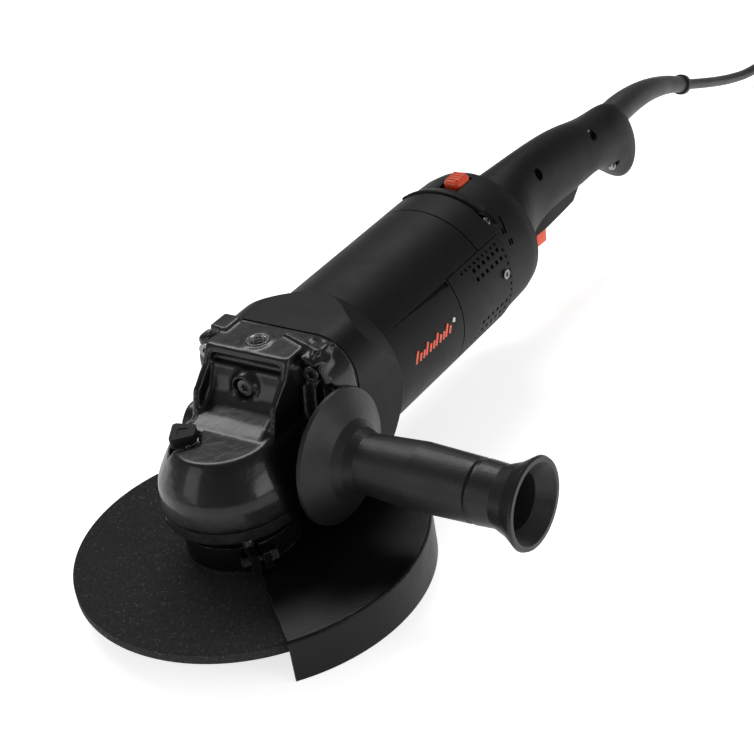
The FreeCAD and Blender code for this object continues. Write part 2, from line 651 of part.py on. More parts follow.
def lock_spring():
    return coil_spring(LOCK_WIRE_R, LOCK_COIL_R, LOCK_SPRING_FROM, HEAD_DECK - 0.1, 4.25, lock_place())


# ---------------------------------------------------------------- guard


def wheel_guard():
    inner = NECK_R + RUN_FIT
    collar_top = GUARD_TOP + COLLAR_HEIGHT
    collar = tube(Z, inner + COLLAR_T, inner, GUARD_TOP - GUARD_T, collar_top)
    span = math.radians(GUARD_SPAN_DEG)
    plate = Part.makeCylinder(GUARD_R, GUARD_T, V(0, 0, GUARD_TOP - GUARD_T), Z, GUARD_SPAN_DEG)
    skirt = Part.makeCylinder(GUARD_R, GUARD_TOP - GUARD_SKIRT_BOTTOM, V(0, 0, GUARD_SKIRT_BOTTOM), Z,
                              GUARD_SPAN_DEG)
    skirt = skirt.cut(rod(Z, GUARD_R - GUARD_T, GUARD_SKIRT_BOTTOM - 1, GUARD_TOP - GUARD_T))
    both = join([plate, skirt])
    rim = [e for e in both.Edges if abs(e.Length - GUARD_R * span) < 1 and e.BoundBox.ZMax > GUARD_TOP - 0.1]
    both = both.makeFillet(1.8, rim)
    both.rotate(V(0, 0, 0), Z, GUARD_FROM_DEG)
    both = both.cut(rod(Z, inner, GUARD_TOP - 10, GUARD_TOP + 5))
    ears = block(NECK_R + 1.5, NECK_R + 12, -5.5, 5.5, collar_top - 10, collar_top - 0.5)
    ears.rotate(V(0, 0, 0), Z, CLAMP_DEG)
    slit = block(NECK_R - 1, NECK_R + 14, -1.2, 1.2, GUARD_TOP + 0.4, collar_top + 1)
    slit.rotate(V(0, 0, 0), Z, CLAMP_DEG)
    hole = rod(Y, 2.5 + RUN_FIT, -8, 8, (NECK_R + 7.8, collar_top - 5.2))
    hole.rotate(V(0, 0, 0), Z, CLAMP_DEG)
    return join([both, collar, ears]).cut(slit).cut(hole)


def guard_clamp_screw():
    centre = (NECK_R + 7.8, GUARD_TOP + COLLAR_HEIGHT - 5.2)
    bolt = screw(Y, 2.5, 4.2, -9.5, -5.5, 9.0, centre)
    nut = hex_bar(Y, 8.0, 5.5, 8.5, centre).cut(rod(Y, 2.5 + RUN_FIT, 5, 10, centre))
    for piece in (bolt, nut):
        piece.rotate(V(0, 0, 0), Z, CLAMP_DEG)
    return [bolt, nut]


# ---------------------------------------------------------------- motor


def armature_shaft():
    return turned([(15.8, 0), (15.8, SHAFT_NOSE_R), (35.5, SHAFT_NOSE_R), (35.5, SHAFT_BEARING_R),
                   (FRONT_BEARING_FROM + FRONT_BEARING_T + 0.3, SHAFT_BEARING_R),
                   (FRONT_BEARING_FROM + FRONT_BEARING_T + 0.3, SHAFT_R), (COMMUTATOR_TO + 4, SHAFT_R),
                   (COMMUTATOR_TO + 4, SHAFT_TAIL_R), (REAR_BEARING_FROM + REAR_BEARING_T + 1, SHAFT_TAIL_R),
                   (REAR_BEARING_FROM + REAR_BEARING_T + 1, 0)], X)


def pinion_nut():
    return hex_bar(X, 8.4, 16.0, 19.8).cut(rod(X, SHAFT_NOSE_R, 15, 21))


def armature_core():
    core = tube(X, CORE_R, SHAFT_R, CORE_FROM, CORE_TO)
    slot = block(CORE_FROM - 1, CORE_TO + 1, -1.0, 1.0, CORE_R - 3.0, CORE_R + 1)
    pocket = rod(X, 2.9, CORE_FROM - 1, CORE_TO + 1, (0, CORE_R - 5.5))
    return core.cut(Part.makeCompound(turned_copies(slot, X, 12) + turned_copies(pocket, X, 12)))


def armature_windings():
    ends = []
    for face, reach in ((CORE_FROM, -12.0), (CORE_TO, 14.0)):
        ends.append(turned([(face, SHAFT_R), (face, 22.3), (face + 0.3 * reach, 22.0), (face + 0.8 * reach, 19.0),
                            (face + reach, 15.0), (face + reach, SHAFT_R)], X))
    bar = rod(X, 2.6, CORE_FROM - 1, CORE_TO + 1, (0, CORE_R - 5.5))
    return join(ends + turned_copies(bar, X, 12))


def commutator():
    body = tube(X, COMMUTATOR_R, SHAFT_R, COMMUTATOR_FROM, COMMUTATOR_TO)
    riser = tube(X, COMMUTATOR_R + 1.6, COMMUTATOR_R - 1, COMMUTATOR_FROM, COMMUTATOR_FROM + 3)
    slot = block(COMMUTATOR_FROM - 1, COMMUTATOR_TO + 1, -0.3, 0.3, COMMUTATOR_R - 0.8, COMMUTATOR_R + 2)
    return join([body, riser]).cut(Part.makeCompound(turned_copies(slot, X, 24)))


def cooling_fan():
    back = tube(X, FAN_R, SHAFT_R, FAN_FROM, FAN_FROM + 1.6)
    hub = tube(X, 12.0, SHAFT_R, FAN_FROM, FAN_TO)
    blade = block(FAN_FROM + 0.5, FAN_TO, -0.9, 0.9, 11.0, FAN_R - 0.5)
    blade.rotate(V(0, 0, 14.0), X, 12)
    return join([back, hub] + turned_copies(blade, X, FAN_BLADES))


def fan_baffle():
    bore = BODY_HALF - BODY_WALL
    ring = tube(X, bore - 0.1, 24.0, FAN_TO + 2.5, FAN_TO + 4.5)
    lip = tube(X, bore - 0.1, bore - 2.2, FAN_TO + 2.5, CORE_FROM - 1)
    return join([ring, lip])


def stator_core():
    outer = BODY_HALF - BODY_WALL - 0.1
    ring = tube(X, outer, CORE_R + AIR_GAP, CORE_FROM, CORE_TO)
    slots = [block(CORE_FROM - 1, CORE_TO + 1, y - 6.5, y + 6.5, z - 5.5, z + 5.5)
             for y in (-31.0, 31.0) for z in (-8.0, 8.0)]
    return ring.cut(Part.makeCompound(slots))


def field_coils():
    coils = []
    for side in (1, -1):
        bars = [block(CORE_FROM - 8, CORE_TO + 8, y - 5.5, y + 5.5, side * 8.0 - 4.5, side * 8.0 + 4.5)
                for y in (-31.0, 31.0)]
        half = block(CORE_FROM - 20, CORE_TO + 20, -50, 50, 3.5, 50)
        if side < 0:
            half.rotate(V(0, 0, 0), X, 180)
        heads = [tube(X, 37.5, 26.5, x0, x0 + 8).common(half) for x0 in (CORE_FROM - 8.0, CORE_TO)]
        coils.append(join(bars + heads))
    return coils


def bearing_bracket():
    """Spider that carries the rear armature bearing across the motor housing."""
    x0, x1 = REAR_BEARING_FROM - 2.0, REAR_BEARING_FROM + REAR_BEARING_T + 1.5
    bore = BODY_HALF - BODY_WALL - RUN_FIT
    hub = rod(X, REAR_BEARING_R + 4.5, x0, x1)
    rim = tube(X, bore, bore - 2.2, x0, x1)
    arm = block(x0, x1 - 2, -3.5, 3.5, REAR_BEARING_R + 3, bore - 1)
    body = join([hub, rim] + turned_copies(arm, X, 4))
    pocket = rod(X, REAR_BEARING_R + 1.5 + RUN_FIT, REAR_BEARING_FROM, x1 + 1)
    return body.cut(pocket).cut(rod(X, SHAFT_R + 1, x0 - 1, x1))


def bearing_sleeve():
    return tube(X, REAR_BEARING_R + 1.5, REAR_BEARING_R + RUN_FIT,
                REAR_BEARING_FROM, REAR_BEARING_FROM + REAR_BEARING_T)


def both_sides(maker):
    left = maker()
    right = left.mirror(V(0, 0, 0), Y)
    return [left, right]


def carbon_brush():
    return block(BRUSH_X - BRUSH_HALF_X, BRUSH_X + BRUSH_HALF_X, COMMUTATOR_R + 0.1, BRUSH_OUT,
                 -BRUSH_HALF_Z, BRUSH_HALF_Z)


def brush_holder():
    x0, x1 = BRUSH_X - BRUSH_HALF_X - 1.6, BRUSH_X + BRUSH_HALF_X + 1.6
    z1 = BRUSH_HALF_Z + 1.6
    out = BODY_HALF - BODY_WALL - 1.0
    case = block(x0, x1, COMMUTATOR_R + 3, out, -z1, z1)
    base = block(x0 - 5, x1 + 5, out - 8, out - 5, -z1 - 6, z1 + 6)
    bore = block(x0 + 1.5, x1 - 1.5, COMMUTATOR_R, out + 5, -BRUSH_HALF_Z - 0.1, BRUSH_HALF_Z + 0.1)
    return join([case, base]).cut(bore)


def brush_spring():
    """Clock spring behind the brush, as a rolled strip."""
    out = BODY_HALF - BODY_WALL - 1.4
    return tube(Z, 3.6, 2.4, -BRUSH_HALF_Z + 0.4, BRUSH_HALF_Z - 0.4, (BRUSH_X, BRUSH_OUT + 3.6)).common(
        block(BRUSH_X - 5, BRUSH_X + 5, 0, out, -5, 5))


# ---------------------------------------------------------------- motor housing and rear housing
def panel_sector(r0, r1, x0, x1, half_deg):
    """Piece of a tube on the left side, from -half_deg to half_deg above the horizontal."""
    ring = tube(X, r1, r0, x0, x1)
    reach = r1 * 2
    top = math.tan(math.radians(half_deg)) * reach
    wedge = polygon_face([V(x0, 0, 0), V(x0, reach, -top), V(x0, reach, top)]).extrude(V(x1 - x0, 0, 0))
    return ring.common(wedge)


def motor_housing():
    x0 = HOUSING_JOINT + GASKET_T
    square = rounded_square(BODY_HALF, BODY_CORNER_R, x0, FLARE_FADE)
    flare = turned([(x0, 0), (x0, FLARE_R + 1), (FLARE_END - 6, FLARE_R + 1), (FLARE_FADE, BODY_HALF),
                    (FLARE_FADE, 0)], X)
    body = join([square.common(flare), rod(X, BODY_HALF, FLARE_END, MOTOR_END)])
    bore = BODY_HALF - BODY_WALL
    cuts = [rod(X, bore, x0 - 1, MOTOR_END + 1)]
    for place in corner_screws():
        cuts.append(rod(X, CASE_SCREW_R + RUN_FIT, x0 - 1, FLARE_END - 2, place))
    cuts += both_sides(lambda: panel_sector(bore - 1, BODY_HALF + 1, PANEL_FROM, MOTOR_END + 1, PANEL_HALF_DEG))
    return body.cut(Part.makeCompound(cuts))


def rear_housing():
    bore = BODY_HALF - BODY_WALL
    outer = turned([(MOTOR_END, 0), (MOTOR_END, BODY_HALF), (REAR_STEP, BODY_HALF), (REAR_STEP, BODY_HALF - 0.8),
                    (REAR_END - 10, BODY_HALF - 1.8), (REAR_END - 3, REAR_END_R + 0.6), (REAR_END, REAR_END_R - 2.4),
                    (REAR_END, 0)], X)
    inner = turned([(MOTOR_END - 1, 0), (MOTOR_END - 1, bore), (REAR_STEP, bore), (REAR_END - 8, bore - 2.5),
                    (REAR_END - 6.5, bore - 4), (REAR_END - 6.5, 0)], X)
    body = outer.cut(inner)
    # groove ring that holds the rim of the swivelling neck
    holder = tube(X, bore - 1, SWIVEL_RIM_R + SLIDE_GAP, SWIVEL_RIM_FROM - 4, REAR_END - 6.5)
    front_ring = tube(X, bore - 1, NECK_SWIVEL_R + SLIDE_GAP, SWIVEL_RIM_FROM - 4, SWIVEL_RIM_FROM - SLIDE_GAP)
    body = join([body, holder.common(outer), front_ring.common(outer)])
    cuts = [rod(X, NECK_SWIVEL_R + SLIDE_GAP, SWIVEL_RIM_FROM - 5, REAR_END + 1)]
    cuts += both_sides(lambda: panel_sector(bore - 1, BODY_HALF + 1, MOTOR_END - 1, PANEL_TO, PANEL_HALF_DEG))
    cuts.append(block(BUTTON_FROM, BUTTON_TO, -BUTTON_HALF, BUTTON_HALF, SWIVEL_RIM_R, BODY_HALF + 2))
    return body.cut(Part.makeCompound(cuts))


def swivel_lock_button():
    """Slider on top of the rear housing: pulled forwards it frees the swivelling handle."""
    x0 = BUTTON_FROM + BUTTON_TRAVEL + SLIDE_GAP
    x1 = BUTTON_TO - SLIDE_GAP
    half = BUTTON_HALF - SLIDE_GAP
    pad = block(x0, x1, -half, half, BODY_HALF - 6.0, BODY_HALF + 1.6)
    pad = pad.makeFillet(2.0, [e for e in pad.Edges if e.BoundBox.ZLength > 5])
    pad = pad.makeFillet(0.8, [e for e in pad.Edges if e.BoundBox.ZMin > BODY_HALF + 1.5])
    tongue = block(x1 - 5, x1 - 1, -4.0, 4.0, SWIVEL_RIM_R + 2 * SLIDE_GAP, BODY_HALF - 5)
    ribs = [block(x, x + 0.8, -half - 1, half + 1, BODY_HALF + 1.0, BODY_HALF + 2)
            for x in (x0 + 4, x0 + 6.5, x0 + 9)]
    return join([pad, tongue]).cut(Part.makeCompound(ribs))


def brush_cover():
    bore = BODY_HALF - BODY_WALL
    r0 = BODY_HALF - PANEL_T
    cover = panel_sector(r0 - 0.6, BODY_HALF, PANEL_FROM + 0.15, PANEL_TO - 0.15, PANEL_HALF_DEG - 0.25)
    holes = []
    for x in [PANEL_TO - 8 - 5.0 * i for i in range(6)]:
        for angle in (-25, -18, 18, 25):
            hole = block(x - 1.2, x + 1.2, bore - 3, BODY_HALF + 2, -1.2, 1.2)
            hole.rotate(V(0, 0, 0), X, angle)
            holes.append(hole)
    holes.append(rod(Y, 1.6 + RUN_FIT, bore - 8, BODY_HALF + 2, (PANEL_SCREW_X, 4.0)))
    holes.append(rod(Y, 2.8 + RUN_FIT, BODY_HALF - 0.5, BODY_HALF + 2, (PANEL_SCREW_X, 4.0)))
    ledge = block(PANEL_SCREW_X - 2.4, PANEL_SCREW_X + 4, bore - 6, r0, 0, 8)
    return join([cover, ledge]).cut(Part.makeCompound(holes))


def brush_cover_screw():
    return screw(Y, 1.6, 2.8, BODY_HALF + 0.9, BODY_HALF - 0.4, BODY_HALF - BODY_WALL - 7, (PANEL_SCREW_X, 4.0))


# ---------------------------------------------------------------- rear handle


def handle_loft(shrink, first, last):
    """Smooth handle body through its oval sections, made thinner by shrink for the hollow inside."""
    wires = []
    for x, wide, centre, high in HANDLE_SECTIONS:
        x = min(max(x, first), last)
        oval = Part.Ellipse(V(x, 0, centre + high - shrink), V(x, wide - shrink, centre), V(x, 0, centre))
        wires.append(Part.Wire(oval.toShape()))
    return Part.makeLoft(wires, True, False)


def handle_body():
    shell = handle_loft(0.0, 250.0, 424.0)
    hollow = handle_loft(HANDLE_WALL, 246.0, 424.0 - 1.2 * HANDLE_WALL)
    neck = tube(X, NECK_SWIVEL_R, NECK_SWIVEL_R - HANDLE_WALL, SWIVEL_RIM_FROM - 3, 250.5)
    rim = tube(X, SWIVEL_RIM_R, NECK_SWIVEL_R - HANDLE_WALL, SWIVEL_RIM_FROM, SWIVEL_RIM_TO)
    posts = [rod(Y, 4.2, -15, 15, place) for place in HANDLE_SCREWS]
    collar = rod(X, RELIEF_R + 3.0, RELIEF_STOP + 4, 420, (0, RELIEF_Z)).common(shell)
    body = join([shell.cut(hollow), neck, rim] + [p.common(shell) for p in posts] + [collar], False)
    cuts = [block(TRIGGER_FROM - 1.4, TRIGGER_TO + SLIDE_GAP, -TRIGGER_HALF - SLIDE_GAP,
                  TRIGGER_HALF + SLIDE_GAP, -45, -12),
            rod(X, RELIEF_R + SLIDE_GAP, RELIEF_STOP, 440, (0, RELIEF_Z)),
            rod(Y, 2.0 + RUN_FIT, -12.6, 12.6, (TRIGGER_PIVOT_X, TRIGGER_PIVOT_Z))]
    for x, z in HANDLE_SCREWS:
        cuts.append(rod(Y, HANDLE_SCREW_R + RUN_FIT, -13, 30, (x, z)).mirror(V(0, 0, 0), Y))
        cuts.append(rod(Y, HANDLE_HEAD_R + 0.5, -30, -8.0, (x, z)))
    for angle in (0, 90, -90):
        notch = block(SWIVEL_RIM_FROM - 1, SWIVEL_RIM_TO + 1, -4.4, 4.4, NECK_SWIVEL_R + 1, SWIVEL_RIM_R + 1)
        notch.rotate(V(0, 0, 0), X, angle)
        cuts.append(notch)
    return body.cut(Part.makeCompound(cuts))


def handle_shells():
    body = handle_body()
    left = body.common(block(200, 450, 0.0, 60, -80, 60))
    right = body.common(block(200, 450, -60, 0.0, -80, 60))
    return left, right


def handle_screws():
    return [screw(Y, HANDLE_SCREW_R, HANDLE_HEAD_R, -10.4, -8.0, 8.0, place) for place in HANDLE_SCREWS]


def trigger_switch():
    """Switch block over the trigger, held between the handle shells."""
    case = block(286, 338, -11.5, 11.5, -5.0, 12.0)
    case = case.makeFillet(1.2, [e for e in case.Edges if e.BoundBox.XLength > 40])
    terminals = [block(338, 343, y - 2, y + 2, 2, 8) for y in (-7, 0, 7)]
    ribs = [block(300, 324, -13.9, 13.9, 2.0, 6.0)]
    return join([case] + terminals + ribs)


def switch_trigger():
    """Paddle under the handle, hinged at its rear end."""
    outline = [(TRIGGER_FROM, -28.0), (268, -29.5), (300, -26.5), (330, -25.5), (342, -24.8), (TRIGGER_TO - 1.5, -20.0),
               (TRIGGER_TO - 1.5, -10.0), (TRIGGER_PIVOT_X - 5, -9.0), (320, -13.0), (TRIGGER_FROM, -16.5)]
    paddle = prism_y(outline, TRIGGER_HALF)
    under = [e for e in paddle.Edges if e.BoundBox.YLength < 0.01 and e.BoundBox.ZMax < -19.9]
    paddle = paddle.makeFillet(2.0, under)
    pocket = block(TAB_FROM - 1.0, TAB_TO + 1.0, -TAB_HALF - SLIDE_GAP, TAB_HALF + SLIDE_GAP, -40, -10)
    pin = rod(Y, 2.0 + RUN_FIT, -15, 15, (TRIGGER_PIVOT_X, TRIGGER_PIVOT_Z))
    return paddle.cut(Part.makeCompound([pocket, pin]))


def lock_off_tab():
    tab = prism_y([(TAB_FROM + 3, -16.5), (TAB_TO - 4, -16.5), (TAB_TO - 2.5, -22), (TAB_TO - 4.5, -34.5),
                   (TAB_FROM + 6, -35.0), (TAB_FROM + 2.5, -24)], TAB_HALF)
    return tab.makeFillet(1.5, [e for e in tab.Edges if e.BoundBox.ZMax < -30])


def trigger_pin():
    return rod(Y, 2.0, -12.5, 12.5, (TRIGGER_PIVOT_X, TRIGGER_PIVOT_Z))


def trigger_spring():
    return coil_spring(0.5, 3.2, -13.6, -5.2, 4.25, (302.0, 0))


# ---------------------------------------------------------------- side handle
def side_grip():
    seat = BOSS_FACE
    profile = [(-seat, STUD_R + 2), (-seat, 13.0), (-seat - 1.0, 14.0), (-seat - 1.4, SIDE_FLANGE_R - 1.5),
               (-seat - 2.9, SIDE_FLANGE_R), (-seat - 4.5, SIDE_FLANGE_R - 0.5), (-seat - 6.5, SIDE_FLANGE_R - 4),
               (-seat - 12.0, 21.0), (-seat - 16.0, SIDE_GRIP_R + 1.0), (-seat - 21.0, SIDE_GRIP_R - 1.0),
               (-seat - 52.0, SIDE_GRIP_R + 1.0), (-128.0, SIDE_GRIP_R), (-128.6, SIDE_GRIP_R - 1.2),
               (-130.6, SIDE_GRIP_R - 1.2), (-131.2, SIDE_GRIP_R), (-142.0, SIDE_GRIP_R - 0.6),
               (-150.0, SIDE_GRIP_R + 2.4), (-SIDE_END + 1.5, SIDE_END_R), (-SIDE_END, SIDE_END_R - 0.6),
               (-SIDE_END, SIDE_END_R - 3.0), (-SIDE_END + 8, 14.0), (-SIDE_END + 26, 10.5), (-SIDE_END + 30, 0),
               (-seat - 21.0, 0), (-seat - 21.0, STUD_R + 2)]
    return turned(profile, Y, (HANDLE_AXIS_X, HANDLE_AXIS_Z))


def side_stud():
    centre = (HANDLE_AXIS_X, HANDLE_AXIS_Z)
    shank = rod(Y, STUD_R, -BOSS_FACE - 20.9, -STUD_INNER - 1, centre)
    insert = rod(Y, STUD_R + 2 - RUN_FIT, -BOSS_FACE - 20.9, -BOSS_FACE, centre)
    return join([shank, insert])


# ---------------------------------------------------------------- cord


def cord_path(points):
    """Straight runs joined by tangent arcs, each as large as its two runs allow."""
    corners = [V(*p) for p in points]
    edges = []
    start = corners[0]
    for before, here, after in zip(corners, corners[1:], corners[2:]):
        run_in, run_out = here - before, after - here
        shorter = min(run_in.Length, run_out.Length)
        turn = run_in.getAngle(run_out)
        cut = 0.45 * shorter
        radius = cut / math.tan(turn / 2)
        way_in, way_out = run_in.normalize(), run_out.normalize()
        arc_from, arc_to = here - way_in * cut, here + way_out * cut
        inwards = (way_out - way_in).normalize()
        middle = here + inwards * (radius / math.cos(turn / 2) - radius)
        edges.append(Part.LineSegment(start, arc_from).toShape())
        edges.append(Part.Arc(arc_from, middle, arc_to).toShape())
        print(f"cord radius {radius:8.1f}  turn {math.degrees(turn):5.1f}  run {shorter:5.1f}")
        start = arc_to
    edges.append(Part.LineSegment(start, corners[-1]).toShape())
    return Part.Wire(edges)


def cord_tube(points):
    path = cord_path(points)
    first = V(*points[1]) - V(*points[0])
    section = Part.Wire(Part.makeCircle(CORD_R, V(*points[0]), first))
    body = path.makePipeShell([section], True, False)
    expected = math.pi * CORD_R ** 2 * path.Length
    print(f"cord tube length {path.Length:.1f}  volume {body.Volume:.0f}  section x length {expected:.0f}")
    return body


def cord_coil():
    """Outer shape of the wound turns: a ring as wide and as high as they stack."""
    outer, inner = COIL_TURN_RADII[-1] + CORD_R, COIL_TURN_RADII[0] - CORD_R
    return tube(Z, outer, inner, FLOOR, FLOOR + 2 * CORD_R * COIL_LAYERS, COIL_CENTRE)


def coil_tie():
    """Strap round the wound turns."""
    mid = (COIL_TURN_RADII[0] + COIL_TURN_RADII[-1]) / 2
    half = (COIL_TURN_RADII[-1] - COIL_TURN_RADII[0]) / 2 + CORD_R
    x, y = COIL_CENTRE[0] + mid, COIL_CENTRE[1]
    top = FLOOR + 2 * CORD_R * COIL_LAYERS
    outer = block(x - half - 2.0, x + half + 1.2, y - 5, y + 5, FLOOR, top + 1.2)
    return outer.cut(block(x - half - 0.8, x + half + 0.1, y - 6, y + 6, FLOOR - 1, top + 0.1))


def strain_relief():
    """Tapered rubber sleeve, straight where the handle turns round it and then bending down."""
    sections = []
    for x, radius in ((424.0, RELIEF_R), (440.0, RELIEF_R - 0.7), (460.0, RELIEF_R - 1.7),
                      (480.0, RELIEF_R - 2.7), (498.0, RELIEF_R - 3.5), (ROUTE_FROM[0], RELIEF_R - 4.2)):
        past = max(0.0, x - 424.0)
        drop = (RELIEF_Z - ROUTE_FROM[2]) / (ROUTE_FROM[0] - 424.0) ** 2
        way = V(1, 0, -2 * drop * past)
        sections.append((V(x, 0, RELIEF_Z - drop * past ** 2), way, radius))
    straight = rod(X, RELIEF_R, RELIEF_STOP, 424, (0, RELIEF_Z))
    wires = [Part.Wire(Part.makeCircle(r, place, way)) for place, way, r in sections]
    bent = Part.makeLoft(wires, True, False)
    end, way, _ = sections[-1]
    way.normalize()
    ring = Part.makeCylinder(RELIEF_R - 2.6, 3.0, end - way * 3.0, way)
    stop = rod(X, RELIEF_R + 1.2, RELIEF_STOP, RELIEF_STOP + 3, (0, RELIEF_Z))
    return join([straight, bent, ring, stop])


def cord_plug():
    """Two-pin mains plug lying on its side."""
    y, z = COIL_CENTRE[1] - COIL_OUT, FLOOR + PLUG_HALF_HEIGHT
    x1 = PLUG_BACK - PLUG_RELIEF
    x0 = x1 - PLUG_BODY
    relief = turned([(PLUG_BACK, 0), (PLUG_BACK, CORD_R + 0.8), (x1, CORD_R + 4.0), (x1 - 2, CORD_R + 4.0),
                     (x1 - 2, 0)], X, (y, z))
    body = block(x0, x1, y - PLUG_HALF_WIDTH, y + PLUG_HALF_WIDTH, FLOOR, FLOOR + 2 * PLUG_HALF_HEIGHT)
    body = body.makeFillet(9.0, [e for e in body.Edges if e.BoundBox.XLength > PLUG_BODY - 1])
    body = body.makeFillet(3.0, [e for e in body.Edges if e.BoundBox.XMin > x1 - 0.1])
    return join([body, relief])


def plug_pins():
    y, z = COIL_CENTRE[1] - COIL_OUT, FLOOR + PLUG_HALF_HEIGHT
    x0 = PLUG_BACK - PLUG_RELIEF - PLUG_BODY
    return [rod(X, PIN_R, x0 - PIN_LENGTH, x0, (y + side * PIN_APART / 2, z)) for side in (-1, 1)]


# ---------------------------------------------------------------- the model's nodes
save("spindle", spindle())
save("bevel_gear", bevel_gear())
save("inner_flange", inner_flange())
save("grinding_disc", grinding_disc())
save("flange_nut", flange_nut())
save("spindle_lower_bearing", *bearing(Z, SPINDLE_R + RUN_FIT, LOWER_BEARING_R,
                                       LOWER_BEARING_TOP - LOWER_BEARING_T, LOWER_BEARING_T, 8))
save("spindle_upper_bearing", *bearing(Z, SPINDLE_TIP_R + RUN_FIT, UPPER_BEARING_R,
                                       UPPER_BEARING_FROM, UPPER_BEARING_T, 7))
save("gear_housing", gear_housing())
save("bearing_retainer", bearing_retainer())
save("retainer_screws", *retainer_screws())
save("shaft_seal", shaft_seal())
save("bearing_plate", bearing_plate())
save("gear_case_screws", *case_screws())
save("housing_gasket", housing_gasket())
save("spindle_lock_button", lock_button())
save("spindle_lock_pin", lock_pin())
save("spindle_lock_spring", lock_spring())
save("wheel_guard", wheel_guard())
save("guard_clamp_screw", *guard_clamp_screw())
save("armature_shaft", armature_shaft())
save("pinion_gear", pinion_gear())
save("pinion_nut", pinion_nut())
save("armature_front_bearing", *bearing(X, SHAFT_BEARING_R + RUN_FIT, FRONT_BEARING_R,
                                        FRONT_BEARING_FROM, FRONT_BEARING_T, 8))
save("armature_rear_bearing", *bearing(X, SHAFT_TAIL_R + RUN_FIT, REAR_BEARING_R,
                                       REAR_BEARING_FROM, REAR_BEARING_T, 7))
save("armature_core", armature_core())
save("armature_windings", armature_windings())
save("commutator", commutator())
save("cooling_fan", cooling_fan())
save("fan_baffle", fan_baffle())
save("stator_core", stator_core())
save("field_coils", *field_coils())
save("bearing_bracket", bearing_bracket())
save("bearing_sleeve", bearing_sleeve())
save("carbon_brushes", *both_sides(carbon_brush))
save("brush_holders", *both_sides(brush_holder))
save("brush_springs", *both_sides(brush_spring))
save("motor_housing", motor_housing())
save("rear_housing", rear_housing())
LEFT_COVER, RIGHT_COVER = both_sides(brush_cover)
save("brush_cover_left", LEFT_COVER)
save("brush_cover_right", RIGHT_COVER)
save("brush_cover_screws", *both_sides(brush_cover_screw))
save("swivel_lock_button", swivel_lock_button())
LEFT_SHELL, RIGHT_SHELL = handle_shells()
save("handle_left_shell", LEFT_SHELL)
save("handle_right_shell", RIGHT_SHELL)
save("handle_screws", *handle_screws())
save("trigger_switch", trigger_switch())
save("switch_trigger", switch_trigger())
save("trigger_pin", trigger_pin())
save("trigger_spring", trigger_spring())
save("lock_off_tab", lock_off_tab())
save("side_handle_grip", side_grip())
save("side_handle_stud", side_stud())
save("strain_relief", strain_relief())
save("cord_lead", cord_tube(ROUTE))
save("cord_tail", cord_tube(TAIL))
save("cord_coil", cord_coil())
save("coil_tie", coil_tie())
save("cord_plug", cord_plug())
save("plug_pins", *plug_pins())
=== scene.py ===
# %% [markdown]
# # Dressing a large angle grinder
# The grinder's parts were designed as solids and packed into one model. This lesson loads that
# model as a fixed frame, then gives every part its finish and adds what is too fine for the
# design: mouldings, ribs, screw recesses, grit and grain.
# Lengths in this lesson are written in millimetres from the point where the spindle's axis meets
# the motor's axis: x runs back to the cord, y to the tool's left and z up. `place` turns them
# into the frame's metres.

# %% Load the frame
import math

import bmesh
import bpy
from mathutils import Matrix, Vector


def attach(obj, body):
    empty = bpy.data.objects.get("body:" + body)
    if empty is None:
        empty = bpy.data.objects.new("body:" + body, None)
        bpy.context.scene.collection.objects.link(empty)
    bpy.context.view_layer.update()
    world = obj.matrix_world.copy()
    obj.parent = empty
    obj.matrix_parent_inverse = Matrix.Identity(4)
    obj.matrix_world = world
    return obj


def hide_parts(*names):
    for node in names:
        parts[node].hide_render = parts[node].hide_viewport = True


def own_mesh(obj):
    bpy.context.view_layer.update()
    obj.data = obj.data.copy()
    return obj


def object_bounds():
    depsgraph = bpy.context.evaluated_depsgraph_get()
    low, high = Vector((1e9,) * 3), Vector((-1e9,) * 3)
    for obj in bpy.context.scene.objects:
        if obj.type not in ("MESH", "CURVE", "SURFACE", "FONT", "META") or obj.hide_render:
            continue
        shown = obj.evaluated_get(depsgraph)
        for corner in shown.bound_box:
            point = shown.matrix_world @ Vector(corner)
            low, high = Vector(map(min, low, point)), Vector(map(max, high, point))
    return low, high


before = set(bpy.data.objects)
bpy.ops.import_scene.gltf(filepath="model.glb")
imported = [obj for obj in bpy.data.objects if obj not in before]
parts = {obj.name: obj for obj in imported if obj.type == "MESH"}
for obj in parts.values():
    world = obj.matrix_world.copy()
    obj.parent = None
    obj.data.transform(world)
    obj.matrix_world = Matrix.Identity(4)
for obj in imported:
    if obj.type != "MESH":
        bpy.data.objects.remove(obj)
cad_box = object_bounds()
MM = 0.001
AXIS_HEIGHT = 65.5


def place(x, y, z):
    return Vector((x * MM, y * MM, (z + AXIS_HEIGHT) * MM))


def add_object(name, data):
    """Make an object from its data and put it in the scene."""
    made = bpy.data.objects.new(name, data)
    bpy.context.scene.collection.objects.link(made)
    return made


print("parts loaded:", len(parts), "box:", [tuple(round(c, 4) for c in corner) for corner in cad_box])

# %% [markdown]
# ## The camera
# The grinder is seen from in front, from its right side and from above, through a long lens, and
# the camera is rolled a little. Its three directions are written down as a turned frame: its
# right, its up, and the direction that points back from the subject.

# %% The camera
right = Vector((0.54238, -0.82730, -0.14631))
up = Vector((0.50402, 0.18108, 0.84450))
back = Vector((-0.67216, -0.53178, 0.51519))
turn = Matrix((right, up, back)).transposed()
lens = bpy.data.cameras.new("studio_lens")
lens.lens = 91.5
lens.sensor_width = 36
lens.clip_start = 0.01
lens.clip_end = 20
camera = add_object("studio_camera", lens)
camera.matrix_world = Matrix.Translation((-0.5805, -0.5615, 0.5807)) @ turn.to_4x4()
bpy.context.scene.camera = camera
print("camera at", tuple(round(c, 3) for c in camera.location))

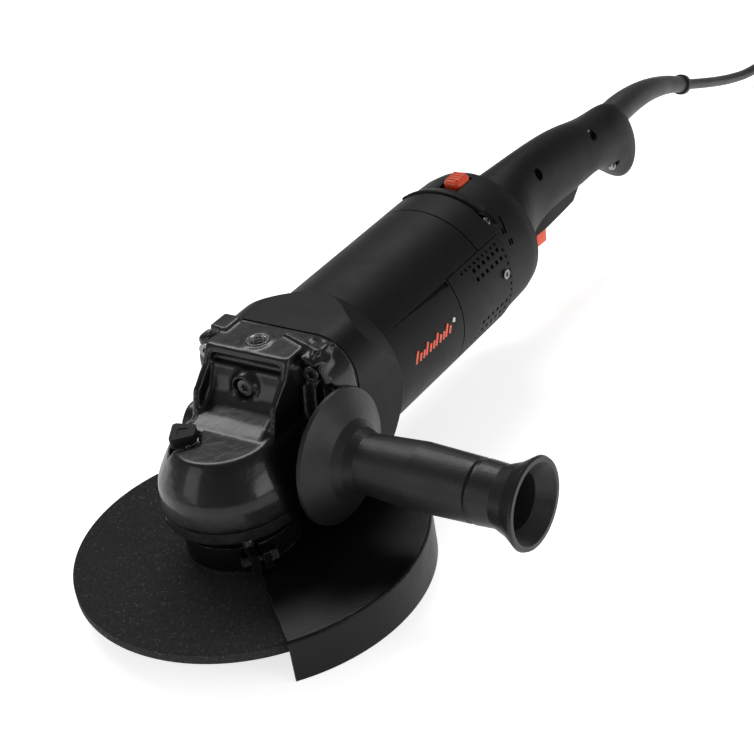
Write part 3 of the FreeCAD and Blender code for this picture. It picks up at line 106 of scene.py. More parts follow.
# %% [markdown]
# ## Floor and light
# A black tool shows its shape by what it reflects. A pale floor and a white sky give the even
# background. The sky is at its full strength only where the camera looks straight at it; as a
# light it is much weaker, so that black stays black. Three area lamps draw the long soft streaks
# on the enamel: one high up behind and to the left, a weak one in front on the left for the
# nose, and a low one on the right.

# %% Floor and light
FLOOR_HALF = 30.0
FLOOR_GAP = 0.0002
SKY_AS_LIGHT, SKY_SEEN = 0.22, 1.0
floor_height = cad_box[0].z
sheet = bmesh.new()
bmesh.ops.create_grid(sheet, x_segments=1, y_segments=1, size=FLOOR_HALF)
bmesh.ops.translate(sheet, verts=sheet.verts, vec=(0, 0, floor_height - FLOOR_GAP))
floor_mesh = bpy.data.meshes.new("studio_floor")
sheet.to_mesh(floor_mesh)
sheet.free()
floor = add_object("studio_floor", floor_mesh)


def softbox(name, at, aim, size, power):
    lamp = bpy.data.lights.new(name, "AREA")
    lamp.shape = "RECTANGLE"
    lamp.size, lamp.size_y = size
    lamp.energy = power
    box = add_object(name, lamp)
    box.location = at
    box.rotation_euler = (Vector(aim) - Vector(at)).to_track_quat("-Z", "Y").to_euler()


softbox("overhead", (0.8, 0.75, 1.4), (0.1, 0, 0.05), (1.6, 0.4), 16)
softbox("left_front", (-1.3, 0.75, 0.7), (0.0, 0, 0.05), (0.7, 0.9), 4)
softbox("right_side", (0.2, -1.5, 0.45), (0.15, 0, 0.05), (1.3, 0.35), 6)
world = bpy.data.worlds.new("studio_sky")
world.use_nodes = True
sky = world.node_tree.nodes["Background"].inputs
sky["Color"].default_value = (1, 1, 1, 1)
seen_or_lit = world.node_tree.nodes.new("ShaderNodeMapRange")
seen_or_lit.inputs["To Min"].default_value = SKY_AS_LIGHT
seen_or_lit.inputs["To Max"].default_value = SKY_SEEN
light_path = world.node_tree.nodes.new("ShaderNodeLightPath")
world.node_tree.links.new(light_path.outputs["Is Camera Ray"], seen_or_lit.inputs["Value"])
world.node_tree.links.new(seen_or_lit.outputs["Result"], sky["Strength"])
bpy.context.scene.world = world
bpy.context.scene.view_settings.view_transform = "Standard"
print("floor at", round(floor_height, 4))

# %% [markdown]
# ## The mains lead
# A rubber lead, 7 mm thick and about two metres long, leaves the end of its strain relief,
# drops to the floor in a long easy curve, and the rest is wound into a neat round coil of two
# layers with the plug beside it. It is one NURBS curve: the spline smooths its control points
# the way a real lead smooths its bends, so few points are enough for the run, and sixteen a turn
# for the coil.
# The bevel's depth is 1 and each point's radius is the lead's own. Blender widens a curve's box
# by its points' radius, so written this way round the box stays true.

# %% The route of the lead
LEAD_R = 3.5
LIE = -65.8
COIL_X, COIL_Y = 712.0, -48.0
TURN_POINTS = 16
TURN_RADII = (49.0, 42.0, 35.0, 28.0, 28.0, 35.0, 42.0, 49.0)
TURNS = 7.5
SIDESTEP = (0.62, 0.84)
LAYER = 7.0
CLIMB = (3.84, 4.0)
lead_run = [(516, 0, -22.5), (546, -0.6, -34.5), (584, -0.4, -48.5), (622, 0.4, -60), (664, 1.4, LIE)]
tail_run = [(678, -97.8, LIE + 5.6), (646, -96.2, LIE + 1.8), (614, -97, -56.3)]


def eased(value, start, end):
    share = min(max((value - start) / (end - start), 0.0), 1.0)
    return share * share * (3 - 2 * share)


def coil_point(turns):
    """A point on the coil. A turn keeps its radius, steps sideways near its end, and climbs once."""
    number = int(turns)
    part_turn = turns - number
    radius = TURN_RADII[number]
    following = TURN_RADII[min(number + 1, len(TURN_RADII) - 1)]
    radius += (following - radius) * eased(part_turn, *SIDESTEP)
    height = LIE + LAYER * eased(turns, *CLIMB)
    radius /= math.cos(math.pi / TURN_POINTS)
    angle = math.radians(90) - turns * math.tau
    return (COIL_X + radius * math.cos(angle), COIL_Y + radius * math.sin(angle), height)


coil_points = [coil_point(step / TURN_POINTS) for step in range(int(TURNS * TURN_POINTS) + 1)]
lead_points = lead_run + coil_points + tail_run
print("control points of the lead:", len(lead_points))

# %% Lay the lead
lead_curve = bpy.data.curves.new("mains_lead", "CURVE")
lead_curve.dimensions = "3D"
lead_curve.resolution_u = 8
lead_curve.bevel_depth = 1.0
lead_curve.bevel_resolution = 5
lead_curve.use_fill_caps = True
line = lead_curve.splines.new("NURBS")
line.points.add(len(lead_points) - 1)
for point, (x, y, z) in zip(line.points, lead_points):
    point.co = (*place(x, y, z), 1)
    point.radius = LEAD_R * MM
line.order_u = 3
line.use_endpoint_u = True
mains_lead = add_object("mains_lead", lead_curve)
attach(mains_lead, "root")
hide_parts("cord_lead", "cord_coil", "cord_tail")
print("lead laid")

# %% [markdown]
# ## Helpers for finishes
# Every finish is a small network of shader nodes. Two helpers keep the cells short: `node` adds
# one node and joins its inputs, and `mix_colours` blends two colours by a mask.

# %% Node helpers


def node(tree, kind, inputs=None, **settings):
    """Add one node. An input is a plain value or another node's output."""
    made = tree.nodes.new("ShaderNode" + kind)
    for name, value in settings.items():
        setattr(made, name, value)
    for name, value in (inputs or {}).items():
        if isinstance(value, bpy.types.NodeSocket):
            tree.links.new(value, made.inputs[name])
        else:
            made.inputs[name].default_value = value
    return made


def maths(tree, operation, a, b=0.0, clamp=False):
    return node(tree, "Math", {0: a, 1: b}, operation=operation, use_clamp=clamp).outputs[0]


def mix_colours(tree, mask, a, b):
    return node(tree, "Mix", {0: mask, 6: a, 7: b}, data_type="RGBA").outputs[2]


def ramp(tree, value, low, high, to_low=0.0, to_high=1.0):
    return node(tree, "MapRange", {0: value, 1: low, 2: high, 3: to_low, 4: to_high}).outputs[0]


def grey(value, tint=0.0):
    return (value, value, value * (1 + tint), 1)


print("helpers ready")

# %% [markdown]
# ## Effects that several finishes share
# A node group is built once and placed in each material with its own values. Inside a group the
# effect is a mask or a height; the shader itself stays in the material.
# * `moulded_grain` is the fine spark-eroded grain of nylon housings.
# * `cast_skin` is the slow ripple of paint over a casting.
# * `edge_wear` finds edges: where a softened copy of the surface's normal differs from the true
#   one, there is an edge, and a noise breaks the wear up.
# * `handling` is a slow patchiness of the shine, from hands and dust.
# * `turned_marks` are fine lines, like those that a lathe leaves.

# %% Shared effect groups


def new_group(name, inputs, outputs):
    group = bpy.data.node_groups.new(name, "ShaderNodeTree")
    for label, value in inputs.items():
        socket = group.interface.new_socket(name=label, in_out="INPUT", socket_type="NodeSocketFloat")
        socket.default_value = value
    for label in outputs:
        group.interface.new_socket(name=label, in_out="OUTPUT", socket_type="NodeSocketFloat")
    return group, group.nodes.new("NodeGroupInput").outputs, group.nodes.new("NodeGroupOutput").inputs


def own_place(tree):
    return node(tree, "TexCoord").outputs["Object"]


def noise_of(tree, scale, detail=2.0, roughness=0.5, vector=None):
    inputs = {"Vector": vector or own_place(tree), "Scale": scale, "Detail": detail, "Roughness": roughness}
    return node(tree, "TexNoise", inputs).outputs["Fac"]


def make_moulded_grain():
    group, given, result = new_group("moulded_grain", {"Scale": 1100.0}, ("Height", "Shade"))
    pits = node(group, "TexVoronoi", {"Vector": own_place(group), "Scale": given["Scale"]},
                feature="SMOOTH_F1").outputs["Distance"]
    coarse = maths(group, "MULTIPLY", given["Scale"], 0.35)
    lumps = noise_of(group, coarse, 3.0)
    height = maths(group, "ADD", maths(group, "MULTIPLY", pits, 0.6), maths(group, "MULTIPLY", lumps, 0.6))
    group.links.new(height, result["Height"])
    group.links.new(ramp(group, height, 0.35, 0.8), result["Shade"])
    return group


def make_cast_skin():
    group, given, result = new_group("cast_skin", {"Scale": 160.0}, ("Height", "Shade"))
    slow = noise_of(group, given["Scale"], 2.0)
    peel = noise_of(group, maths(group, "MULTIPLY", given["Scale"], 7.0), 1.0)
    height = maths(group, "ADD", slow, maths(group, "MULTIPLY", peel, 0.12))
    group.links.new(height, result["Height"])
    group.links.new(ramp(group, slow, 0.35, 0.7), result["Shade"])
    return group


def make_edge_wear():
    group, given, result = new_group("edge_wear", {"Radius": 0.0008, "Breakup": 220.0, "Amount": 1.0},
                                     ("Mask",))
    soft = node(group, "Bevel", {"Radius": given["Radius"]}, samples=4).outputs["Normal"]
    true = node(group, "NewGeometry").outputs["Normal"]
    alike = node(group, "VectorMath", {0: soft, 1: true}, operation="DOT_PRODUCT").outputs["Value"]
    edge = ramp(group, maths(group, "SUBTRACT", 1.0, alike), 0.02, 0.2)
    broken = ramp(group, noise_of(group, given["Breakup"], 4.0, 0.65), 0.42, 0.62)
    mask = maths(group, "MULTIPLY", maths(group, "MULTIPLY", edge, broken), given["Amount"], clamp=True)
    group.links.new(mask, result["Mask"])
    return group


def make_handling():
    group, given, result = new_group("handling", {"Scale": 28.0}, ("Patches", "Dust"))
    patches = noise_of(group, given["Scale"], 5.0, 0.62)
    group.links.new(ramp(group, patches, 0.3, 0.7), result["Patches"])
    facing = node(group, "TexCoord").outputs["Normal"]
    upward = node(group, "SeparateXYZ", {0: facing}).outputs["Z"]
    specks = ramp(group, noise_of(group, maths(group, "MULTIPLY", given["Scale"], 60.0), 2.0), 0.56, 0.72)
    dust = maths(group, "MULTIPLY", ramp(group, upward, 0.2, 1.0), specks)
    group.links.new(dust, result["Dust"])
    return group


def make_turned_marks():
    group, given, result = new_group("turned_marks", {"Scale": 900.0}, ("Height", "Shade"))
    place_at = node(group, "SeparateXYZ", {0: own_place(group)}).outputs
    along = maths(group, "ADD", place_at["X"], maths(group, "MULTIPLY", place_at["Z"], 1.7))
    across = maths(group, "MULTIPLY", place_at["Y"], 0.08)
    stretched = node(group, "CombineXYZ", {0: along, 1: across}).outputs[0]
    lines = noise_of(group, given["Scale"], 3.0, 0.6, stretched)
    group.links.new(lines, result["Height"])
    group.links.new(ramp(group, lines, 0.3, 0.7), result["Shade"])
    return group


effects = {"moulded_grain": make_moulded_grain(), "cast_skin": make_cast_skin(),
           "edge_wear": make_edge_wear(), "handling": make_handling(), "turned_marks": make_turned_marks()}
print("shared effects:", sorted(effects))

# %% [markdown]
# ## A finish from its ingredients
# Most finishes here are the same recipe: a base colour, shaded a little by the surface's own
# texture, paler where edges rub or dust lies, a roughness that changes in patches, and a bump
# over slightly softened edges. `finish` mixes that recipe and each material gives its amounts.
# The values that are the same all over, such as the coat, sit on the shader itself.

# %% The finish recipe
DUST_COLOUR = (0.3, 0.29, 0.28, 1)
WORN_SMOOTHER = 0.12


def effect(tree, name, **values):
    return node(tree, "Group", values, node_tree=effects[name]).outputs


def finish(name, colour, rough, texture="moulded_grain", scale=1100.0, depth=0.00003, shade=0.2,
           worn=None, wear=0.0, wear_radius=0.0008, dust=0.0, patch=0.08, metal=0.0, coat=0.0,
           coat_rough=0.1, soften=0.0004, specular=0.5):
    """Build one material. `rough` is the middle roughness and `patch` how far it wanders."""
    material = bpy.data.materials.new(name)
    material.use_nodes = True
    tree = material.node_tree
    shader = tree.nodes["Principled BSDF"]
    skin = effect(tree, texture, Scale=scale)
    handled = effect(tree, "handling")
    darker = tuple(part * (1 - shade) for part in colour[:3]) + (1,)
    base = mix_colours(tree, skin["Shade"], darker, colour)
    base = mix_colours(tree, maths(tree, "MULTIPLY", handled["Dust"], dust), base, DUST_COLOUR)
    roughness = ramp(tree, handled["Patches"], 0.0, 1.0, rough - patch, rough + patch)
    if wear:
        rubbed = effect(tree, "edge_wear", Radius=wear_radius, Amount=wear)["Mask"]
        base = mix_colours(tree, rubbed, base, worn)
        smoother = maths(tree, "MULTIPLY", rubbed, WORN_SMOOTHER)
        roughness = maths(tree, "SUBTRACT", roughness, smoother, clamp=True)
    tree.links.new(base, shader.inputs["Base Color"])
    tree.links.new(roughness, shader.inputs["Roughness"])
    soft = node(tree, "Bevel", {"Radius": soften}, samples=4).outputs["Normal"]
    bump = node(tree, "Bump", {"Height": skin["Height"], "Distance": depth, "Strength": 1.0, "Normal": soft})
    tree.links.new(bump.outputs["Normal"], shader.inputs["Normal"])
    shader.inputs["Metallic"].default_value = metal
    shader.inputs["Specular IOR Level"].default_value = specular
    shader.inputs["Coat Weight"].default_value = coat
    shader.inputs["Coat Roughness"].default_value = coat_rough
    return material


def dress(material, *names):
    """Give a finish to parts of the frame, or to pieces made here."""
    for name in names:
        mesh = (parts[name] if isinstance(name, str) else name).data
        mesh.materials.clear()
        mesh.materials.append(material)


print("recipe ready")

# %% [markdown]
# ## The enamel on the castings
# The gear housing is cast aluminium under thick glossy black enamel. The enamel is smooth, but
# it follows the slow waves of the casting, and that is what bends its bright reflections.

# %% Glossy enamel
enamel = finish("glossy_black_enamel", grey(0.005, 0.1), 0.36, "cast_skin", 130.0, 0.0005, 0.3,
                worn=grey(0.09), wear=0.35, wear_radius=0.0007, dust=0.02, patch=0.08, coat=0.32,
                coat_rough=0.14, soften=0.0006, specular=0.25)
dress(enamel, "gear_housing", "bearing_retainer")
print("enamel on the castings")

# %% [markdown]
# ## Nylon, in five finishes
# The motor's housing and the rear handle are glass-filled nylon with a matte spark grain. The
# side handle is a little paler and shinier, the parts inside are grey, and the slider and the
# lock-off tab are smooth and orange.

# %% Nylon finishes
housing_nylon = finish("housing_nylon", grey(0.0055, 0.05), 0.52, scale=1500.0, depth=0.00007, shade=0.35,
                       worn=grey(0.04), wear=0.5, dust=0.03, patch=0.07, specular=0.18)
handle_nylon = finish("handle_nylon", grey(0.005, 0.05), 0.52, scale=1300.0, depth=0.00009, shade=0.35,
                      worn=grey(0.04), wear=0.5, dust=0.03, patch=0.08, specular=0.18)
grip_nylon = finish("side_grip_nylon", grey(0.013, 0.05), 0.42, scale=1200.0, depth=0.0001, shade=0.3,
                    worn=grey(0.05), wear=0.4, dust=0.04, patch=0.08, specular=0.34)
inner_nylon = finish("inner_nylon", grey(0.09), 0.5, scale=900.0, depth=0.00004, worn=grey(0.14), wear=0.2)
orange_nylon = finish("orange_nylon", (0.86, 0.085, 0.022, 1), 0.36, scale=1000.0, depth=0.00002, shade=0.12,
                      worn=(0.95, 0.3, 0.14, 1), wear=0.35, dust=0.06, patch=0.06)
dress(housing_nylon, "motor_housing", "rear_housing", "brush_cover_left", "brush_cover_right",
      "spindle_lock_button")
dress(handle_nylon, "handle_left_shell", "handle_right_shell", "switch_trigger")
dress(grip_nylon, "side_handle_grip")
dress(inner_nylon, "trigger_switch", "cooling_fan", "fan_baffle", "bearing_bracket")
dress(orange_nylon, "swivel_lock_button", "lock_off_tab")
print("nylon finishes placed")

# %% [markdown]
# ## Powder-coated guard
# The guard is pressed steel under black powder coat. The coat has a fine orange peel, and its
# cut edges rub bright where the guard is set down.

# %% Guard finish
powder_coat = finish("guard_powder_coat", grey(0.004), 0.38, "cast_skin", 900.0, 0.00012, 0.25,
                     worn=grey(0.3), wear=0.5, wear_radius=0.0006, dust=0.03, patch=0.08, specular=0.18)
dress(powder_coat, "wheel_guard")
print("guard coated")

# %% [markdown]
# ## Metals
# Screws are dark zinc, shafts and gears are ground and oily, the flange and nut are machined,
# and the bearing plate is bare die-cast metal. The guard's clamp screw is blackened, and the
# brush holders and the plug's pins are plated brass.

# %% Metal finishes
machined_steel = finish("machined_steel", grey(0.5, 0.03), 0.3, "turned_marks", 1600.0, 0.00003, 0.25,
                        worn=grey(0.75), wear=0.5, patch=0.08, metal=1.0, soften=0.0002)
oily_steel = finish("oily_gear_steel", grey(0.32, 0.04), 0.24, "turned_marks", 1300.0, 0.00002, 0.4,
                    worn=grey(0.6), wear=0.4, patch=0.1, metal=1.0, soften=0.0002)
dark_zinc = finish("dark_zinc_screws", grey(0.26, 0.04), 0.27, "turned_marks", 1700.0, 0.00002, 0.35,
                   worn=grey(0.6), wear=0.8, wear_radius=0.0003, patch=0.1, metal=1.0, soften=0.00025)
die_cast_metal = finish("bare_die_casting", grey(0.55, 0.02), 0.42, "cast_skin", 500.0, 0.00012, 0.25,
                        worn=grey(0.7), wear=0.4, patch=0.1, metal=1.0)
plated_brass = finish("nickel_plated_brass", (0.66, 0.6, 0.48, 1), 0.25, "turned_marks", 1500.0, 0.00002, 0.2,
                      worn=(0.75, 0.62, 0.34, 1), wear=0.3, patch=0.08, metal=1.0, soften=0.0002)
dress(machined_steel, "inner_flange", "flange_nut", "spindle_lower_bearing", "spindle_upper_bearing",
      "armature_front_bearing", "armature_rear_bearing", "pinion_nut", "spindle_lock_pin",
      "spindle_lock_spring", "trigger_pin", "trigger_spring", "brush_springs", "side_handle_stud")
dress(oily_steel, "spindle", "bevel_gear", "pinion_gear", "armature_shaft")
blackened_steel = finish("blackened_steel", grey(0.035, 0.04), 0.34, "turned_marks", 1700.0, 0.00002, 0.35,
                         worn=grey(0.5), wear=0.7, wear_radius=0.0003, patch=0.1, metal=1.0, soften=0.00025)
dress(dark_zinc, "retainer_screws", "gear_case_screws", "brush_cover_screws", "handle_screws")
dress(blackened_steel, "guard_clamp_screw")
dress(die_cast_metal, "bearing_plate")
dress(plated_brass, "brush_holders", "plug_pins")
print("metals placed")

# %% [markdown]
# ## Rubber, paper and carbon
# The lead, its relief and the plug are soft rubber with a faint bloom. Gaskets are fibre, and
# the motor's brushes are pressed graphite.

# %% Soft and dull finishes
lead_rubber = finish("lead_rubber", grey(0.018), 0.5, scale=900.0, depth=0.00003, shade=0.25,
                     worn=grey(0.05), wear=0.2, dust=0.1, patch=0.1)
gasket_fibre = finish("gasket_fibre", grey(0.06), 0.85, scale=2000.0, depth=0.00006, worn=grey(0.1), wear=0.2)
graphite = finish("pressed_graphite", grey(0.03), 0.5, scale=2500.0, depth=0.00003, worn=grey(0.1), wear=0.3)
dress(lead_rubber, "strain_relief", "cord_lead", "cord_tail", "cord_coil", "coil_tie", "cord_plug",
      mains_lead)
dress(gasket_fibre, "shaft_seal", "housing_gasket", "bearing_sleeve")
dress(graphite, "carbon_brushes")
print("soft finishes placed")

# %% [markdown]
# ## Laminations, windings and commutator
# The motor's cores are stacks of thin steel sheets, its coils are wound copper wire, and the
# commutator is a ring of copper bars with dark gaps. Bands along x, across the windings and
# round the shaft draw them.

# %% Motor finishes


def banded(name, colour, gap_colour, rough, bands, metal, around=False):
    """A finish whose bands run across x, or round the motor's axis."""
    material = bpy.data.materials.new(name)
    material.use_nodes = True
    tree = material.node_tree
    shader = tree.nodes["Principled BSDF"]
    spot = node(tree, "SeparateXYZ", {0: own_place(tree)}).outputs
    if around:
        level = maths(tree, "SUBTRACT", spot["Z"], AXIS_HEIGHT * MM)
        count = maths(tree, "MULTIPLY", maths(tree, "ARCTAN2", level, spot["Y"]), bands / math.tau)
    else:
        count = maths(tree, "MULTIPLY", spot["X"], bands)
    wave = maths(tree, "PINGPONG", count, 0.5)
    bar = ramp(tree, wave, 0.04, 0.16)
    worn_bar = mix_colours(tree, effect(tree, "handling", Scale=120.0)["Patches"], colour,
                           tuple(part * 0.6 for part in colour[:3]) + (1,))
    tree.links.new(mix_colours(tree, bar, gap_colour, worn_bar), shader.inputs["Base Color"])
    tree.links.new(ramp(tree, bar, 0, 1, 0.8, rough), shader.inputs["Roughness"])
    bump = node(tree, "Bump", {"Height": bar, "Distance": 0.0002, "Strength": 0.7})
    tree.links.new(bump.outputs["Normal"], shader.inputs["Normal"])
    shader.inputs["Metallic"].default_value = metal
    return material


laminations = banded("core_laminations", grey(0.3), grey(0.08), 0.4, 1400.0, 1.0)
windings = banded("wound_copper", (0.62, 0.24, 0.1, 1), (0.12, 0.04, 0.02, 1), 0.28, 900.0, 0.9)
bars = banded("commutator_bars", (0.72, 0.38, 0.22, 1), (0.05, 0.04, 0.04, 1), 0.3, 28.0, 1.0, around=True)
dress(laminations, "armature_core", "stator_core")
dress(windings, "armature_windings", "field_coils")
dress(bars, "commutator")
print("motor finishes placed")

# %% [markdown]
# ## The abrasive disc
# The disc is grit in dark resin over a woven glass mesh. Each grain is a Voronoi cell with its
# own shade and height, a few grains sparkle, and the mesh shows as a faint square weave.

# %% Abrasive finish
GRAINS_A_METRE = 1150.0
THREADS_A_METRE = 230.0


def make_abrasive():
    material = bpy.data.materials.new("resin_bonded_grit")
    material.use_nodes = True
    tree = material.node_tree
    shader = tree.nodes["Principled BSDF"]
    spot = own_place(tree)
    grains = node(tree, "TexVoronoi", {"Vector": spot, "Scale": GRAINS_A_METRE, "Randomness": 1.0})
    grain_shade = node(tree, "SeparateColor", {0: grains.outputs["Color"]}).outputs[0]
    sparkle = ramp(tree, grain_shade, 0.95, 0.98)
    fine = noise_of(tree, 1900.0, 3.0, 0.6)
    axes = node(tree, "SeparateXYZ", {0: spot}).outputs
    threads = []
    for axis in ("X", "Y"):
        wave = maths(tree, "PINGPONG", maths(tree, "MULTIPLY", axes[axis], THREADS_A_METRE), 0.5)
        threads.append(ramp(tree, wave, 0.0, 0.16, 1.0, 0.0))
    weave = maths(tree, "MAXIMUM", threads[0], threads[1])
    weave = maths(tree, "MULTIPLY", weave, noise_of(tree, 90.0, 2.0))
    base = mix_colours(tree, grain_shade, (0.013, 0.013, 0.0135, 1), (0.029, 0.029, 0.029, 1))
    base = mix_colours(tree, maths(tree, "MULTIPLY", weave, 0.35), base, (0.03, 0.03, 0.03, 1))
    base = mix_colours(tree, maths(tree, "MULTIPLY", sparkle, 0.14), base, (0.1, 0.1, 0.105, 1))
    tree.links.new(base, shader.inputs["Base Color"])
    tree.links.new(ramp(tree, sparkle, 0, 1, 0.86, 0.4), shader.inputs["Roughness"])
    domes = maths(tree, "SUBTRACT", 1.0, grains.outputs["Distance"])
    height = maths(tree, "ADD", domes, maths(tree, "MULTIPLY", fine, 0.6))
    height = maths(tree, "ADD", height, maths(tree, "MULTIPLY", weave, 0.5))
    bump = node(tree, "Bump", {"Height": height, "Distance": 0.0005, "Strength": 0.8})
    tree.links.new(bump.outputs["Normal"], shader.inputs["Normal"])
    shader.inputs["Specular IOR Level"].default_value = 0.25
    return material


dress(make_abrasive(), "grinding_disc")
print("grit on the disc")

# %% [markdown]
# ## The floor's own light
# The floor gives off a soft light of its own, so it stays nearly white and keeps only a faint
# shadow under the tool.

# %% Floor finish
floor_paint = bpy.data.materials.new("pale_floor")
floor_paint.use_nodes = True
paint = floor_paint.node_tree.nodes["Principled BSDF"].inputs
paint["Base Color"].default_value = (0.9, 0.9, 0.9, 1)
paint["Roughness"].default_value = 0.8
paint["Emission Color"].default_value = (1, 1, 1, 1)
paint["Emission Strength"].default_value = 0.72
floor.data.materials.append(floor_paint)
print("floor painted")

# %% [markdown]
# ## Helpers for new pieces
# A new piece starts as a bmesh, in the millimetres of the design, and `finish_piece` moves it to
# its place, joins its doubled points and gives it its finish. It also points the faces outwards,
# unless the piece comes from a part, a boolean or a remesh, which have theirs right already.
# Edges sharper than a set angle stay crisp, and the rest shade smoothly.

# %% Piece helpers


def finish_piece(name, shape, material, body="root", replaced=(), sharp_deg=40.0,
                 recalculate=True):
    bmesh.ops.remove_doubles(shape, verts=shape.verts, dist=0.0005)
    if recalculate:
        bmesh.ops.recalc_face_normals(shape, faces=shape.faces)
    to_frame = Matrix.Translation(place(0, 0, 0)) @ Matrix.Scale(MM, 4)
    bmesh.ops.transform(shape, matrix=to_frame, verts=shape.verts)
    mesh = bpy.data.meshes.new(name)
    for face in shape.faces:
        face.smooth = True
    for edge in shape.edges:
        edge.smooth = edge.is_manifold and edge.calc_face_angle(0.0) < math.radians(sharp_deg)
    shape.to_mesh(mesh)
    shape.free()
    piece = add_object(name, mesh)
    piece.data.materials.append(material)
    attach(piece, body)
    if replaced:
        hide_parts(*replaced)
    print(name, "has", len(mesh.polygons), "faces")
    return piece


def add_block(shape, size, at, bevel=0.0, turn=Matrix.Identity(4), segments=2):
    """A block, rounded if wanted, turned about its middle and added to the shape."""
    matrix = Matrix.Translation(at) @ turn @ Matrix.Diagonal((*size, 1))
    made = bmesh.ops.create_cube(shape, size=1.0, matrix=matrix)["verts"]
    if bevel:
        edges = list({edge for vert in made for edge in vert.link_edges})
        bmesh.ops.bevel(shape, geom=edges, offset=bevel, offset_type="OFFSET", segments=segments, profile=0.5,
                        affect="EDGES", material=-1, clamp_overlap=True)


def add_turned(shape, profile, base, axis, steps=48):
    """Spin a profile of (distance along the axis, radius) into a closed solid."""
    axis = Vector(axis).normalized()
    aside = axis.orthogonal().normalized()
    points = [shape.verts.new(Vector(base) + axis * along + aside * radius) for along, radius in profile]
    edges = [shape.edges.new(pair) for pair in zip(points, points[1:])]
    bmesh.ops.spin(shape, geom=points + edges, cent=base, axis=axis, angle=math.tau, steps=steps,
                   use_merge=True)


def turned_about(axis, degrees):
    return Matrix.Rotation(math.radians(degrees), 4, axis)


def merged_copy(name):
    """A copy of a part's mesh, joined up and in the design's millimetres."""
    shape = bmesh.new()
    shape.from_mesh(parts[name].data)
    bmesh.ops.remove_doubles(shape, verts=shape.verts, dist=0.000002)
    to_design = Matrix.Scale(1 / MM, 4) @ Matrix.Translation(-place(0, 0, 0))
    bmesh.ops.transform(shape, matrix=to_design, verts=shape.verts)
    return shape


def extrude_face(shape, face, by):
    """Stand a solid on a face by drawing a copy of it out."""
    drawn = bmesh.ops.extrude_face_region(shape, geom=[face], use_keep_orig=True)["geom"]
    bmesh.ops.translate(shape, verts=[part for part in drawn if isinstance(part, bmesh.types.BMVert)], vec=by)


def evaluated_mesh(thing):
    """The mesh that an object's modifiers make of it."""
    return bpy.data.meshes.new_from_object(thing.evaluated_get(bpy.context.evaluated_depsgraph_get()))


print("piece helpers ready")

# %% [markdown]
# ## Carving mouldings into a housing
# A moulded recess, a vent or a seam is best cut from the real wall. The housing's mesh is
# copied and joined up, the cutting shapes are gathered in a second mesh, and an exact boolean
# takes them away. The copy then stands for the designed part.

# %% Carving helpers
BODY_R = 43.7


def round_body(x, degrees, radius=BODY_R, side=-1):
    """A point round the motor's axis: 0 degrees is level, 90 the top, and side -1 the right."""
    angle = math.radians(degrees)
    return Vector((x, side * radius * math.cos(angle), radius * math.sin(angle)))


def facing(degrees, side=-1):
    """A turn that stands a shape's z axis straight out of the body at this angle."""
    return Matrix.Rotation(math.radians((90 - degrees) * -side), 4, "X")


def add_arc(shape, profile, start, stop, steps=24):
    """Sweep a closed profile of (x, radius) round the motor's axis from one angle to another."""
    first = round_body(0, start, 1.0, -1)
    points = [shape.verts.new(Vector((x, first.y * radius, first.z * radius))) for x, radius in profile]
    edges = [shape.edges.new(pair) for pair in zip(points, points[1:] + points[:1])]
    bmesh.ops.spin(shape, geom=points + edges, cent=(0, 0, 0), axis=(-1, 0, 0),
                   angle=math.radians(stop - start), steps=steps)
    bmesh.ops.holes_fill(shape, edges=[edge for edge in shape.edges if edge.is_boundary], sides=len(profile))


def carved(name, shape, cutter):
    """Take the cutting shapes away from the shape with an exact boolean."""
    bmesh.ops.recalc_face_normals(cutter, faces=cutter.faces)
    lumps = []
    for label, made in ((name + "_whole", shape), (name + "_cutter", cutter.copy())):
        mesh = bpy.data.meshes.new(label)
        made.to_mesh(mesh)
        made.free()
        lumps.append(add_object(label, mesh))
    cut = lumps[0].modifiers.new("carve", "BOOLEAN")
    cut.operation, cut.solver, cut.object, cut.use_self = "DIFFERENCE", "EXACT", lumps[1], True
    result = bmesh.new()
    result.from_mesh(evaluated_mesh(lumps[0]))
    for lump in lumps:
        bpy.data.objects.remove(lump)
    return result


print("carving helpers ready")

# %% [markdown]
# ## The cast gear housing
# A casting has no sharp edges: every corner is a small fillet, because metal flows into rounded
# moulds better. The designed housing is copied, the cast ribs and pocket walls that are too
# fine for the design are added as loose overlapping blocks, and a voxel remesh fuses them into
# one skin. A few rounds of smoothing then melt every edge, as in a real mould.
# * The pocket of the spindle lock's button is first cut a little wider. The button travels 4 mm
#   into it and has to stay clear of the skin, which the remesh makes slightly thicker.
# * Thin walls and a solid boss fill the corners beside the flange, and two ribs cross the
#   shoulder on the right.
# * The tapped hole on top and the boss in front each get a raised rim.

# %% Cast details on the gear housing
LOCK_TURN = turned_about("Z", 120)
LOCK_POCKET = [(11.7, -5.7), (26.6, -9.3), (26.6, 9.3), (11.7, 5.7)]
LOCK_POCKET_FLOOR, LOCK_POCKET_DEPTH = 9.1, 11
pocket = bmesh.new()
corners = [LOCK_TURN @ Vector((x, y, LOCK_POCKET_FLOOR)) for x, y in LOCK_POCKET]
outline = pocket.faces.new([pocket.verts.new(corner) for corner in corners])
extrude_face(pocket, outline, (0, 0, LOCK_POCKET_DEPTH))
cast_head = carved("lock_pocket", merged_copy("gear_housing"), pocket)
pocket.free()
add_block(cast_head, (7, 10.0, 1.8), (37.5, -34.0, 43.6), 0.5, turned_about("X", 24))
add_block(cast_head, (5, 1.8, 11.0), (39.0, -39.4, 34.0), 0.5, turned_about("X", -14))
for side in (-1, 1):
    add_block(cast_head, (8, 1.8, 12.0), (36.0, side * 27.6, 35.5), 0.5)
    add_block(cast_head, (11, 10.5, 15.5), (43.4, side * 33.6, 35.2), 3.0, turned_about("X", -side * 16), 4)
add_block(cast_head, (2.2, 30.0, 2.6), (45.0, -24.0, 46.6), 0.7, turned_about("Z", -18))
